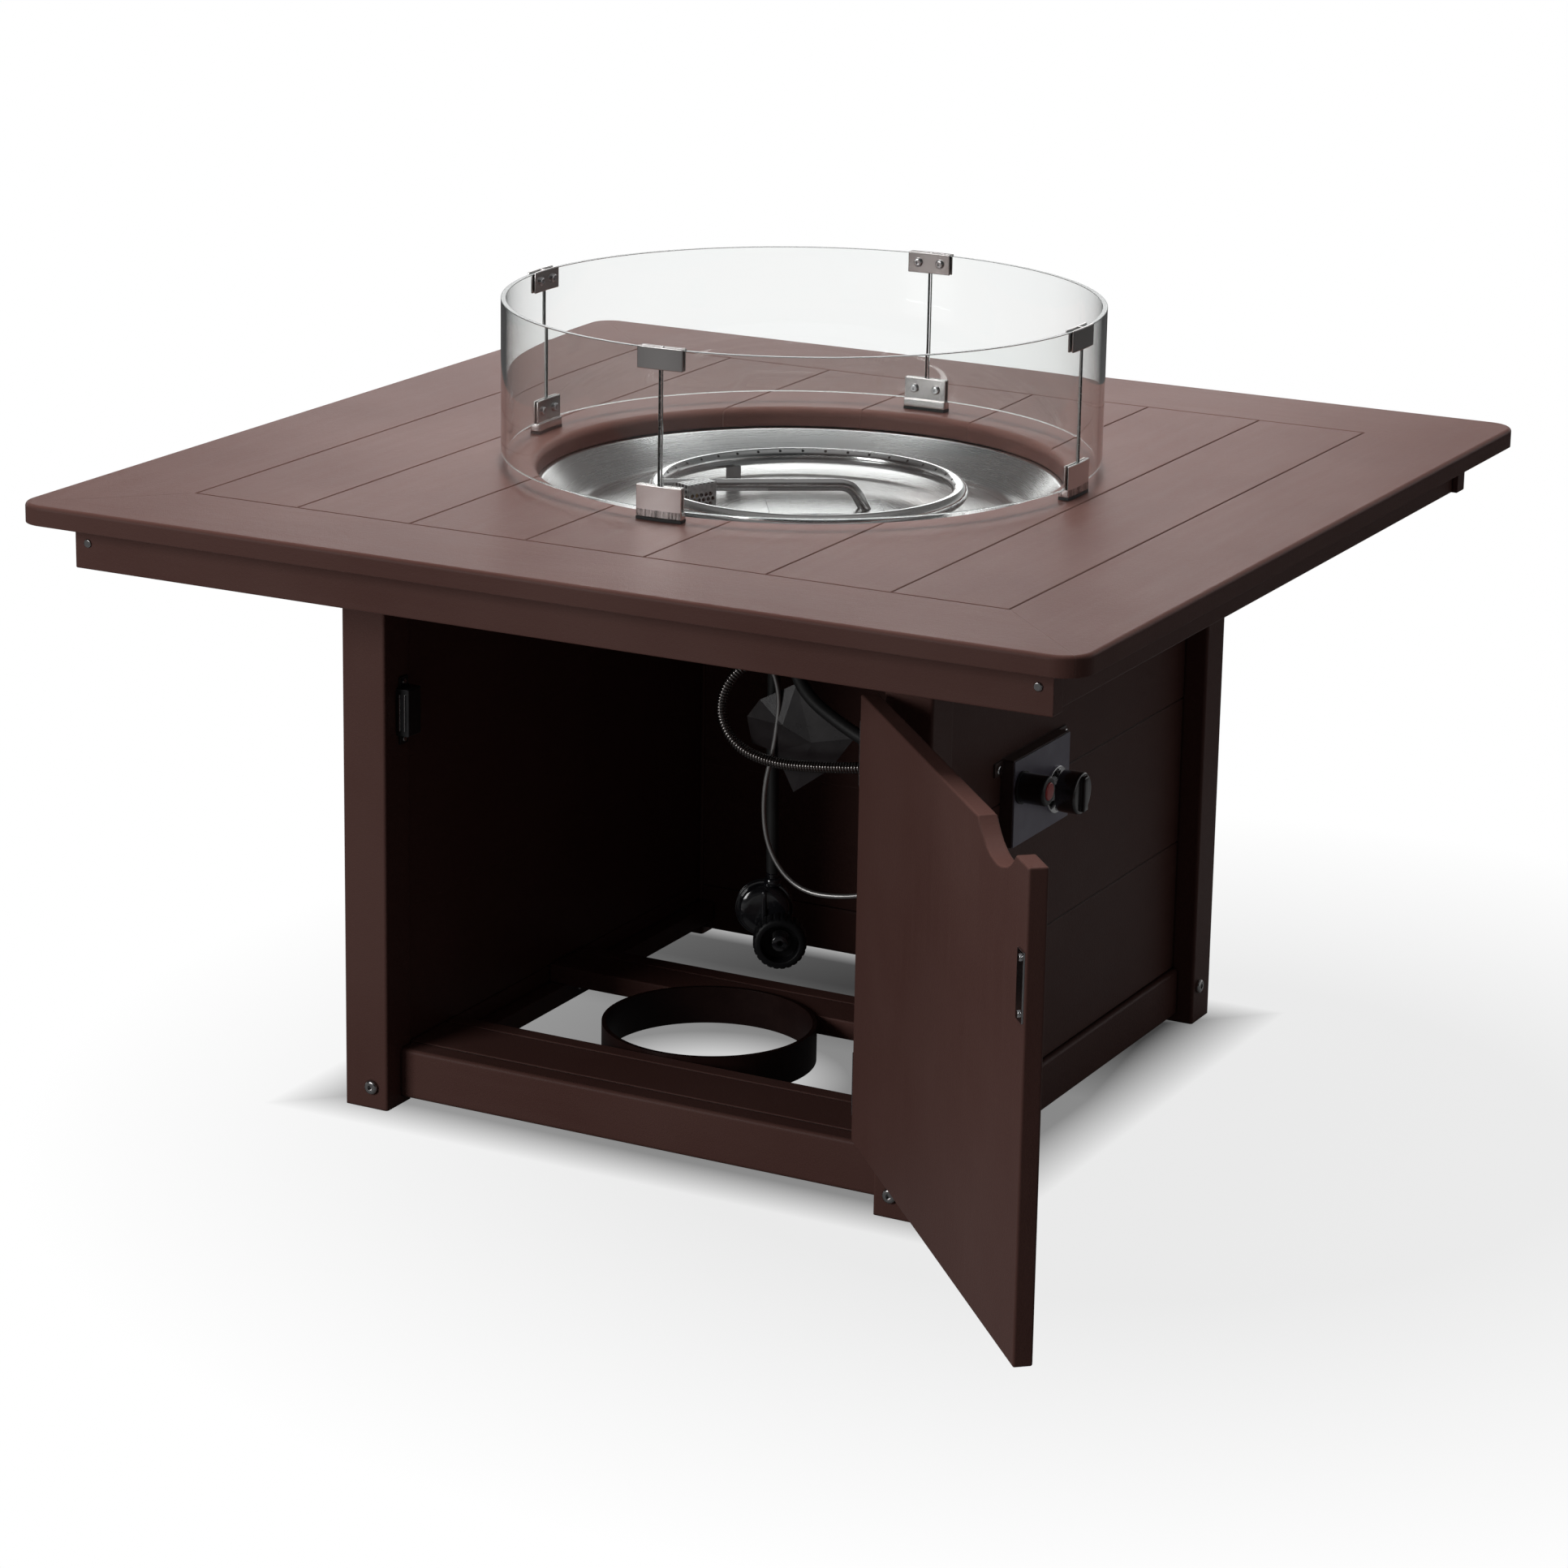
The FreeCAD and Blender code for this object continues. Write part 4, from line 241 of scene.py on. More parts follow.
class Graph:
    """A node tree under work, with short ways to add nodes and join them."""

    def __init__(self, tree: bpy.types.NodeTree) -> None:
        """Take up a node tree."""
        self.tree = tree

    def feed(self, socket: Socket, value) -> None:
        """Join an input to another socket, or set it to a number, a vector or a colour."""
        if isinstance(value, Socket):
            self.tree.links.new(value, socket)
        elif socket.type == "RGBA":
            socket.default_value = (*value, 1.0)
        else:
            socket.default_value = value

    def add(self, kind: str, inputs: Optional[dict] = None, **settings) -> bpy.types.Node:
        """Add a node, set its properties and then feed its inputs, by name or number."""
        node = self.tree.nodes.new(kind)
        for key, value in settings.items():
            setattr(node, key, value)
        for key, value in (inputs or {}).items():
            self.feed(node.inputs[key], value)
        return node

    def span(self, value: Socket, low: float, high: float, start: float = 0.0,
             end: float = 1.0) -> Socket:
        """Return a value carried from start..end to low..high, held at the ends."""
        return self.add("ShaderNodeMapRange", {
            "Value": value, "From Min": start, "From Max": end, "To Min": low, "To Max": high,
        }).outputs["Result"]

    def calc(self, first: Socket, second, how: str = "ADD") -> Socket:
        """Return two values put together by a Math operation."""
        return self.add("ShaderNodeMath", {0: first, 1: second}, operation=how).outputs[0]

    def vector_calc(self, how: str, inputs: dict) -> bpy.types.Node:
        """Return a Vector Math node."""
        return self.add("ShaderNodeVectorMath", inputs, operation=how)

    def mix(self, share: Socket, first, second) -> Socket:
        """Return a value mixed from two."""
        return self.add("ShaderNodeMix", {"Factor": share, "A": first, "B": second}).outputs["Result"]


class Recipe(Graph):
    """A material under work: a Principled shader and what is laid over it."""

    def __init__(self, name: str) -> None:
        """Start an empty material."""
        self.material = bpy.data.materials.new(name)
        self.material.use_nodes = True
        super().__init__(self.material.node_tree)
        self.surface = self.tree.nodes["Principled BSDF"]

    def set(self, **values) -> None:
        """Set Principled inputs. Underscores in a name stand for spaces."""
        for key, value in values.items():
            self.feed(self.surface.inputs[key.replace("_", " ")], value)

    def show(self, share: Socket, other: bpy.types.Node) -> None:
        """Put another shader in place of the Principled one, by a share from 0 to 1."""
        either = self.add("ShaderNodeMixShader",
                          {"Fac": share, 1: self.surface.outputs[0], 2: other.outputs[0]})
        self.feed(self.tree.nodes["Material Output"].inputs["Surface"], either.outputs[0])

    def place(self, scale: Triple = (1.0, 1.0, 1.0)) -> Socket:
        """Return Object coordinates, stretched."""
        where = self.add("ShaderNodeTexCoord").outputs["Object"]
        return self.add("ShaderNodeMapping", {"Vector": where, "Scale": scale}).outputs["Vector"]

    def noise(self, vector: Socket, scale: float, detail: float = 3.0,
              roughness: float = 0.5) -> Socket:
        """Return a noise value from 0 to 1."""
        return self.add("ShaderNodeTexNoise", {
            "Vector": vector, "Scale": scale, "Detail": detail, "Roughness": roughness,
        }).outputs["Fac"]

    def blend(self, share: Socket, first, second) -> Socket:
        """Return a colour mixed from two, each a socket or a plain colour."""
        node = self.add("ShaderNodeMix", {"Factor": share}, data_type="RGBA")
        for key, value in (("A", first), ("B", second)):
            self.feed(next(s for s in node.inputs if s.name == key and s.type == "RGBA"), value)
        return next(s for s in node.outputs if s.type == "RGBA")

    def bump(self, height: Socket, strength: float, depth: float,
             under: Optional[Socket] = None) -> Socket:
        """Return a normal roughened by a height."""
        inputs = {"Strength": strength, "Distance": depth, "Height": height}
        if under is not None:
            inputs["Normal"] = under
        return self.add("ShaderNodeBump", inputs).outputs["Normal"]

    def edges(self, width: float) -> Tuple[Socket, Socket]:
        """Return a softened normal and a value that is 1 along edges and 0 on flats."""
        soft = self.add("ShaderNodeBevel", {"Radius": width}, samples=4).outputs["Normal"]
        plain = self.add("ShaderNodeNewGeometry").outputs["Normal"]
        both = self.vector_calc("DOT_PRODUCT", {0: soft, 1: plain})
        return soft, self.span(both.outputs["Value"], 0.0, 1.0, 0.995, 0.86)

    def painted_crevice_shade(self, reach: float, low: float, start: float, end: float) -> Socket:
        """Return painted shade: a value that is 1 on open faces and low in narrow joints, where ambient
        occlusion finds shade.
        """
        node = self.add("ShaderNodeAmbientOcclusion", {"Distance": reach}, samples=6,
                        only_local=False)
        return self.span(node.outputs["AO"], low, 1.0, start, end)

    def darken(self, colour: Socket, share: Socket) -> Socket:
        """Return a colour times a value."""
        return self.vector_calc("SCALE", {0: colour, "Scale": share}).outputs[0]


@dataclass(frozen=True)
class BoardFinish:
    """A through-coloured polymer board: a fine pressed stipple, soft sheen, paler worn edges, and painted
    shade that darkens its narrow joints.
    """

    name: str
    colour: Colour = (0.132, 0.060, 0.050)
    fleck: Colour = (0.156, 0.078, 0.066)
    worn: Colour = (0.235, 0.140, 0.120)
    run: GrainRun = GrainRun.NONE
    roughness: float = 0.42
    stipple: float = 0.80
    stipple_depth: float = 0.00022
    shine: float = 0.12
    edge_width: float = 0.0014
    crevice_shade_reach: float = 0.0045

    def make(self) -> bpy.types.Material:
        """Return the material."""
        recipe = Recipe(self.name)
        plain = recipe.place()
        cloud = recipe.noise(plain, 5.0, 3.0)
        streak = recipe.noise(recipe.place(self.run.value), 1.0, 4.0, 0.6)
        pips = recipe.noise(plain, 900.0, 2.0, 0.6)
        soft, edge = recipe.edges(self.edge_width)
        body = recipe.blend(recipe.span(cloud, 0.0, 1.0, 0.35, 0.7), self.colour, self.fleck)
        lines = recipe.blend(recipe.span(streak, 0.0, 0.35, 0.45, 0.75), body, self.fleck)
        rag = recipe.span(recipe.noise(plain, 420.0, 3.0), 0.15, 0.9, 0.35, 0.65)
        rubbed = recipe.blend(recipe.calc(edge, rag, "MULTIPLY"), lines, self.worn)
        # painted shade: the colour is darkened in narrow joints and crevices, where ambient occlusion
        # finds shade
        joint = recipe.painted_crevice_shade(self.crevice_shade_reach, 0.22, 0.42, 0.80)
        height = recipe.calc(pips, recipe.span(recipe.noise(plain, 320.0, 2.0), 0.0, 0.8))
        recipe.set(Base_Color=recipe.darken(rubbed, joint),
                   Roughness=recipe.calc(recipe.span(streak, -0.05, 0.05), self.roughness),
                   Specular_IOR_Level=self.shine,
                   Normal=recipe.bump(height, self.stipple, self.stipple_depth, soft))
        return recipe.material


@dataclass(frozen=True)
class SteelFinish:
    """Stainless steel with fine lines, straight or turned, and faint smears.

    A piece whose own mesh has rounded edges is made with sharp_edged off.
    """

    name: str
    colour: Colour = (0.56, 0.56, 0.565)
    roughness: float = 0.26
    run: GrainRun = GrainRun.ALONG_X
    turned: bool = False
    lines: float = 0.25
    line_depth: float = 0.00005
    sharp_edged: bool = True
    edge_width: float = 0.0004

    def scratches(self, recipe: Recipe, plain: Socket) -> Socket:
        """Return the fine lines as a value: rings round the upright axis, or straight lines."""
        if not self.turned:
            fine = tuple(30.0 * stretch for stretch in self.run.value)
            return recipe.noise(recipe.place(fine), 1.0, 4.0, 0.7)
        flat = recipe.vector_calc("MULTIPLY", {0: plain, 1: (1.0, 1.0, 0.0)})
        far = recipe.vector_calc("LENGTH", {0: flat.outputs[0]})
        height = recipe.add("ShaderNodeSeparateXYZ", {0: plain})
        pack = recipe.add("ShaderNodeCombineXYZ", {0: far.outputs["Value"], 1: height.outputs["Z"]})
        return recipe.noise(pack.outputs[0], 1100.0, 4.0, 0.7)

    def make(self) -> bpy.types.Material:
        """Return the material."""
        recipe = Recipe(self.name)
        plain = recipe.place()
        scratch = self.scratches(recipe, plain)
        smear = recipe.noise(plain, 6.0, 1.0, 0.5)
        dull = tuple(0.90 * v for v in self.colour)
        body = recipe.blend(recipe.span(smear, 0.0, 0.6, 0.4, 0.7), self.colour, dull)
        body = recipe.blend(recipe.span(scratch, 0.0, 0.8, 0.4, 0.7), body, dull)
        soft = None
        if self.sharp_edged:
            soft, edge = recipe.edges(self.edge_width)
            body = recipe.blend(edge, body, tuple(min(1.0, 1.25 * v) for v in self.colour))
        rough = recipe.calc(recipe.span(scratch, -0.02, 0.02), self.roughness)
        recipe.set(Base_Color=body, Metallic=1.0,
                   Roughness=recipe.calc(recipe.span(smear, -0.015, 0.02), rough),
                   Normal=recipe.bump(scratch, self.lines, self.line_depth, soft))
        return recipe.material


@dataclass(frozen=True)
class SatinFinish:
    """Plastic, rubber, paint or dull metal with a fine skin and rubbed edges."""

    name: str
    colour: Colour
    rubbed: Colour
    roughness: float
    metallic: float = 0.0
    pip_scale: float = 900.0
    pips: float = 0.25
    pip_depth: float = 0.00012
    coat: float = 0.0
    shine: float = 0.5
    edge_width: float = 0.0005

    def make(self) -> bpy.types.Material:
        """Return the material."""
        recipe = Recipe(self.name)
        plain = recipe.place()
        pips = recipe.noise(plain, self.pip_scale, 2.0, 0.6)
        cloud = recipe.noise(plain, 30.0, 4.0, 0.6)
        soft, edge = recipe.edges(self.edge_width)
        body = recipe.blend(recipe.span(cloud, 0.0, 0.45, 0.4, 0.75), self.colour, self.rubbed)
        recipe.set(Base_Color=recipe.blend(recipe.calc(edge, 0.7, "MULTIPLY"), body, self.rubbed),
                   Metallic=self.metallic, Coat_Weight=self.coat, Coat_Roughness=0.08,
                   Specular_IOR_Level=self.shine,
                   Roughness=recipe.calc(recipe.span(cloud, -0.06, 0.08), self.roughness),
                   Normal=recipe.bump(pips, self.pips, self.pip_depth, soft))
        return recipe.material


@dataclass(frozen=True)
class GlassFinish:
    """Clear toughened glass, faintly grey green in its thickness, that lets lamps through."""

    name: str
    tint: Colour = (0.975, 0.988, 0.982)
    filmed: Colour = (0.93, 0.95, 0.94)
    index: float = 1.47

    def make(self) -> bpy.types.Material:
        """Return the material."""
        recipe = Recipe(self.name)
        plain = recipe.place()
        wave = recipe.noise(plain, 3.0, 1.0)
        film = recipe.noise(plain, 14.0, 4.0)
        recipe.set(Base_Color=recipe.blend(recipe.span(film, 0.0, 0.3), self.tint, self.filmed),
                   Roughness=recipe.span(film, 0.0, 0.02, 0.45, 0.8), IOR=self.index,
                   Transmission_Weight=1.0, Normal=recipe.bump(wave, 0.03, 0.001))
        clear = recipe.add("ShaderNodeBsdfTransparent", {"Color": self.filmed})
        recipe.show(recipe.add("ShaderNodeLightPath").outputs["Is Shadow Ray"], clear)
        return recipe.material


@dataclass(frozen=True)
class GlassEdgeFinish:
    """The ground arrises and edges of the glass, where it looks a dull grey green."""

    name: str
    tint: Colour = (0.075, 0.090, 0.086)
    bright: Colour = (0.16, 0.18, 0.175)
    index: float = 1.47

    def make(self) -> bpy.types.Material:
        """Return the material."""
        recipe = Recipe(self.name)
        grind = recipe.noise(recipe.place(), 900.0, 3.0, 0.6)
        share = recipe.span(grind, 0.0, 1.0, 0.35, 0.65)
        recipe.set(Base_Color=recipe.blend(share, self.tint, self.bright),
                   Roughness=recipe.span(grind, 0.18, 0.34), IOR=self.index,
                   Transmission_Weight=0.35, Normal=recipe.bump(grind, 0.15, 0.0001))
        return recipe.material


@dataclass(frozen=True)
class PerforatedFinish:
    """Thin steel with rows of small round holes across its top and its ends.

    The rows follow the box's own axes. The holes are painted, not cut: dark rounds of painted shade, as
    far from each other as those cut in its face.
    """

    name: str
    bearing: float = 67.7
    colour: Colour = (0.50, 0.50, 0.50)
    hole_shade: Colour = (0.018, 0.018, 0.018)
    pitch: float = 0.0050
    edge_width: float = 0.0005

    def own_axes(self, recipe: Recipe, vector: Socket) -> bpy.types.NodeOutputs:
        """Return the parts of a vector along the box's own axes."""
        spin = recipe.add("ShaderNodeVectorRotate",
                          {"Vector": vector, "Angle": math.radians(-self.bearing)},
                          rotation_type="Z_AXIS")
        return recipe.add("ShaderNodeSeparateXYZ", {0: spin.outputs[0]}).outputs

    def rounds(self, recipe: Recipe, side: Socket, along: Socket, facing: Socket) -> Socket:
        """Return a value that is 1 in the holes of one flat side, where it faces that way."""
        pack = recipe.add("ShaderNodeCombineXYZ", {0: side, 1: along})
        cells = recipe.add("ShaderNodeTexVoronoi", {
            "Vector": pack.outputs[0], "Scale": 1.0 / self.pitch, "Randomness": 0.12,
        }, voronoi_dimensions="2D")
        hole_shade = recipe.span(cells.outputs["Distance"], 1.0, 0.0, 0.30, 0.40)
        return recipe.calc(hole_shade, facing, "MULTIPLY")

    def make(self) -> bpy.types.Material:
        """Return the material."""
        recipe = Recipe(self.name)
        plain = recipe.place()
        at = self.own_axes(recipe, plain)
        way = self.own_axes(recipe, recipe.add("ShaderNodeNewGeometry").outputs["Normal"])
        upward = recipe.span(way["Z"], 0.0, 1.0, 0.25, 0.45)
        endward = recipe.span(recipe.calc(way["X"], 2.0, "POWER"), 0.0, 1.0, 0.6, 0.8)
        holes = recipe.calc(self.rounds(recipe, at["X"], at["Y"], upward),
                            self.rounds(recipe, at["Y"], at["Z"], endward), "MAXIMUM")
        tarnish = recipe.noise(plain, 260.0, 3.0)
        dull = tuple(0.7 * v for v in self.colour)
        steel = recipe.blend(recipe.span(tarnish, 0.0, 1.0, 0.35, 0.7), self.colour, dull)
        soft, _ = recipe.edges(self.edge_width)
        # painted shade: the dark hole colour stands for the shade seen through holes that are not cut
        recipe.set(Base_Color=recipe.blend(holes, steel, self.hole_shade),
                   Metallic=recipe.span(holes, 1.0, 0.0),
                   Roughness=recipe.span(tarnish, 0.24, 0.40),
                   Normal=recipe.bump(holes, -0.6, 0.0006, soft))
        return recipe.material


FINISHES = (
    BoardFinish("board_along_x", run=GrainRun.ALONG_X),
    BoardFinish("board_along_y", run=GrainRun.ALONG_Y),
    BoardFinish("board_along_z", run=GrainRun.ALONG_Z),
    SatinFinish("ring_brown", (0.022, 0.009, 0.008), (0.05, 0.024, 0.020), 0.34, pips=0.35, shine=0.2),
    SatinFinish("box_brown", (0.060, 0.034, 0.030), (0.13, 0.08, 0.07), 0.42),
    SteelFinish("pan_steel", (0.70, 0.70, 0.70), 0.27, turned=True, lines=0.008, sharp_edged=False),
    SteelFinish("ring_steel", (0.72, 0.72, 0.72), 0.15, lines=0.02, sharp_edged=False),
    SteelFinish("sheet_steel", (0.45, 0.45, 0.45), 0.26, lines=0.1),
    PerforatedFinish("shield_steel"),
    SteelFinish("clip_steel", (0.66, 0.63, 0.62), 0.18, GrainRun.ALONG_Z, lines=0.01, sharp_edged=False),
    SteelFinish("bright_steel", (0.68, 0.68, 0.69), 0.13, lines=0.06),
    SteelFinish("bolt_steel", (0.42, 0.41, 0.41), 0.20, lines=0.06),
    SteelFinish("hose_steel", (0.34, 0.32, 0.31), 0.22, GrainRun.NONE, lines=0.1, sharp_edged=False),
    SatinFinish("tube_metal", (0.42, 0.41, 0.40), (0.60, 0.60, 0.60), 0.36, metallic=0.8),
    SatinFinish("brass", (0.42, 0.30, 0.13), (0.66, 0.52, 0.28), 0.32, metallic=1.0),
    SatinFinish("black_plastic", (0.010, 0.010, 0.011), (0.045, 0.045, 0.048), 0.34),
    SatinFinish("black_knob", (0.026, 0.018, 0.019), (0.07, 0.055, 0.056), 0.20, coat=0.6),
    SatinFinish("red_plastic", (0.80, 0.022, 0.022), (0.85, 0.14, 0.12), 0.28, coat=0.3),
    SatinFinish("plate_grey", (0.270, 0.250, 0.320), (0.42, 0.40, 0.48), 0.34, metallic=0.2,
                pip_scale=1600.0, pips=0.12),
    SatinFinish("black_rubber", (0.012, 0.012, 0.012), (0.035, 0.034, 0.033), 0.55),
    SatinFinish("nut_black", (0.006, 0.006, 0.007), (0.020, 0.020, 0.022), 0.45, shine=0.3),
    SatinFinish("black_casting", (0.008, 0.008, 0.010), (0.05, 0.05, 0.055), 0.12, coat=1.0,
                pip_scale=260.0, pips=0.20),
    # painted shade: the tag's near-black colour stands for the shade it hangs in
    SatinFinish("tag_shade_dark", (0.024, 0.020, 0.021), (0.06, 0.05, 0.052), 0.28),
    GlassFinish("clear_glass"),
    GlassEdgeFinish("glass_edge"),
    # painted shade: the burner ports are dark plugs that stand for the shade inside the ring's holes
    SatinFinish("port_hole_shade", (0.006, 0.006, 0.006), (0.02, 0.02, 0.02), 0.6, pips=0.05),
)


def finish_node(material: bpy.types.Material, *nodes: str) -> None:
    """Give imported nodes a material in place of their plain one."""
    for name in nodes:
        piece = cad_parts[name]
        if not piece.material_slots:
            piece.data.materials.append(material)
        for place in piece.material_slots:
            place.material = material
        log.info("%s: kept from the packed model, finished in %s", name, material.name)


def put(piece: bpy.types.Object, material: bpy.types.Material, body: str,
        replaced: Iterable[str] = ()) -> bpy.types.Object:
    """Finish a new piece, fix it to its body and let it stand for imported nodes."""
    piece.data.materials.clear()
    piece.data.materials.append(material)
    form = "curve" if piece.type == "CURVE" else f"{len(piece.data.polygons)} faces"
    if replaced:
        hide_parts(*replaced)
    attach(piece, body)
    log.info("%s: %s, rides on %s", piece.name, form, body)
    return piece


# ---------------------------------------------------------------------------
# Burner
# ---------------------------------------------------------------------------

@dataclass
class Burner:
    """The pan, the ring burner with its ports, and the feed tube with its hexagon inlet."""

    pan_corners: Profile = (
        (0.0, 0.5618), (0.1545, 0.5618), (0.1610, 0.5630), (0.2145, 0.5630), (0.2210, 0.5668),
        (0.2518, 0.5910), (0.2655, 0.5916))
    pan_rounding: Tuple[float, ...] = (0.003, 0.003, 0.005, 0.004, 0.002)
    pan_sheet: float = 0.0014
    centre: Triple = (0.009, -0.001, 0.5865)
    ring_radius: float = 0.147
    tube_radius: float = 0.008
    port_count: int = 39
    first_port: float = 9.0
    port_radius: float = 0.0015
    port_lift: float = 48.0
    port_crown: float = 0.00016
    port_rim: float = 0.00008
    port_depth: float = 0.0008
    feed_radius: float = 0.006
    feed_along: Triple = (0.8486, 0.5291, 0.0)
    feed_bend: Triple = (0.0271, 0.0304, 0.5860)
    bend_radius: float = 0.020
    bend_angle: float = 60.0
    feed_tail: float = 0.032
    hexagon_flat: float = 0.0085
    hexagon_length: float = 0.011
    hexagon_overlap: float = 0.006

    def build_pan(self, palette: Palette) -> None:
        """Turn the pan: its upper outline out to the rim, and the same outline lower back again."""
        upper = filleted(self.pan_corners, self.pan_rounding, 6)
        lower = upper[::-1] - (0.0, self.pan_sheet)
        grid = turned_grid(np.concatenate([upper, lower]), (0.0, 0.0, 0.0), UP, 180)
        pan = skin("pan_spun", [grid], round_u=False, sharp_degrees=60.0)
        put(pan, palette["pan_steel"], "cabinet", ["burner_pan"])

    def build_ring(self, palette: Palette) -> None:
        """Turn the ring: a circle carried round, radius = ring + tube * cos(a), height = tube * sin(a)."""
        a = np.linspace(0.0, TAU, 36, endpoint=False)
        profile = np.stack([self.ring_radius + self.tube_radius * np.cos(a),
                            self.tube_radius * np.sin(a)], axis=1)
        ring = skin("burner_ring_tube", [turned_grid(profile, self.centre, UP, 200)])
        put(ring, palette["ring_steel"], "cabinet", ["burner_ring"])

    def build_ports(self, palette: Palette) -> None:
        """Set the ports as small dark rounds of painted shade, standing for holes, which look inward and
        up from the ring's skin.
        """
        lift = math.radians(self.port_lift)
        outline = [(0.0, self.port_crown), (self.port_radius, self.port_rim),
                   (self.port_radius, -self.port_depth), (0.0, -self.port_depth)]
        grids = []
        for index in range(self.port_count):
            turn = math.radians(self.first_port + index * 360.0 / self.port_count)
            radial = np.array([math.cos(turn), math.sin(turn), 0.0])
            out = math.sin(lift) * np.array(UP) - math.cos(lift) * radial
            place = np.asarray(self.centre) + radial * self.ring_radius + out * self.tube_radius
            grids.append(turned_grid(outline, place, out, 12))
        ports = skin("burner_ports", grids, round_u=False)
        put(ports, palette["port_hole_shade"], "cabinet")

    def build_feed(self, palette: Palette) -> None:
        """Bend the feed tube: straight in from the ring, an arc down, and a straight tail."""
        along, bend, up = (np.asarray(v) for v in (self.feed_along, self.feed_bend, UP))
        offset = bend - np.asarray(self.centre)
        miss = offset[0] * along[1] - offset[1] * along[0]
        reach = math.sqrt(self.ring_radius ** 2 - miss ** 2) + float(offset[:2] @ along[:2])
        straight = bend - along * np.linspace(reach, 0.0, 30, endpoint=False)[:, None]
        a = np.radians(np.linspace(0.0, self.bend_angle, 16))[:, None]
        arc = bend + self.bend_radius * (along * np.sin(a) - up * (1.0 - np.cos(a)))
        down = along * math.cos(a[-1, 0]) - up * math.sin(a[-1, 0])
        tail = arc[-1] + down * np.linspace(0.0, self.feed_tail, 8)[1:, None]
        path = np.concatenate([straight, arc, tail])
        tube = tube_grid(path, self.feed_radius, 32, (-along[1], along[0], 0.0))
        corner = self.hexagon_flat / math.cos(HEXAGON_HALF)
        outline = filleted([(0.0, 0.0), (corner, 0.0), (corner, self.hexagon_length),
                            (0.0, self.hexagon_length)], (0.0012, 0.0012), 3)
        nut = turned_grid(outline, tail[-1] - down * self.hexagon_overlap, down, 6)
        feed = skin("burner_feed_bent", [tube, nut], round_u=False, sharp_degrees=40.0)
        put(feed, palette["ring_steel"], "cabinet", ["burner_feed_tube"])

    def build(self, palette: Palette) -> None:
        """Make the burner's smooth pieces and finish its packed ones."""
        self.build_pan(palette)
        self.build_ring(palette)
        self.build_ports(palette)
        self.build_feed(palette)
        finish_node(palette["sheet_steel"], "burner_bracket", "pan_cover_plate")
        finish_node(palette["shield_steel"], "pilot_shield")
        finish_node(palette["brass"], "pilot_burner")


# ---------------------------------------------------------------------------
# Wind guard
# ---------------------------------------------------------------------------

def slab_grid(inner: float, outer: float, low: float, high: float, start: float, end: float,
              edge: float, steps: int = 14) -> np.ndarray:
    """Return a curved plate with every edge rounded.

    The section is an oblong of radius and height with quarter circles at its corners, and a
    point a little way along each flat beside them, so that the flats shade flat. It is
    carried round from one bearing to the other, and at each end it draws in by
    edge * (1 - sin(q)) while it moves on by edge * (1 - cos(q)), for q from 0 to 90 degrees.

    Args:
        inner, outer: the plate's two radii.
        low, high: its two heights.
        start, end: its two bearings in degrees.
        edge: the radius of its edges.
        steps: how many stretches it has between its ends.

    Returns:
        The grid, whose two ends are open.
    """
    q = np.radians(np.linspace(0.0, 90.0, 4))
    middle = 0.5 * (inner + outer)
    lead = np.degrees(edge * (1.0 - np.cos(q)) / middle)
    guard = 0.2 * lead[-1]
    between = np.linspace(start + lead[-1] + guard, end - lead[-1] - guard, steps)
    bearing = np.concatenate([start + lead, between, end - lead[::-1]])
    inset = edge * (1.0 - np.sin(q))
    inset = np.concatenate([inset, np.zeros(steps), inset[::-1]])
    corner = np.radians([0.0, 0.0, 30.0, 60.0, 90.0, 90.0])
    slide = np.array([-0.2, 0.0, 0.0, 0.0, 0.0, 0.2]) * edge
    small = np.maximum(edge - inset, 1e-5)[:, None]
    half_deep, half_high = 0.5 * (outer - inner), 0.5 * (high - low)
    deep, tall = [], []
    for quarter, (x, z) in enumerate(((1, 1), (-1, 1), (-1, -1), (1, -1))):
        t = corner + quarter * TAU / 4
        deep.append(x * (half_deep - edge) + small * np.cos(t) - slide * np.sin(t))
        tall.append(z * (half_high - edge) + small * np.sin(t) + slide * np.cos(t))
    angle = np.radians(bearing)[:, None]
    radius = middle + np.concatenate(deep, axis=1)
    height = 0.5 * (high + low) + np.concatenate(tall, axis=1)
    return np.stack([radius * np.cos(angle), radius * np.sin(angle), height], axis=2)


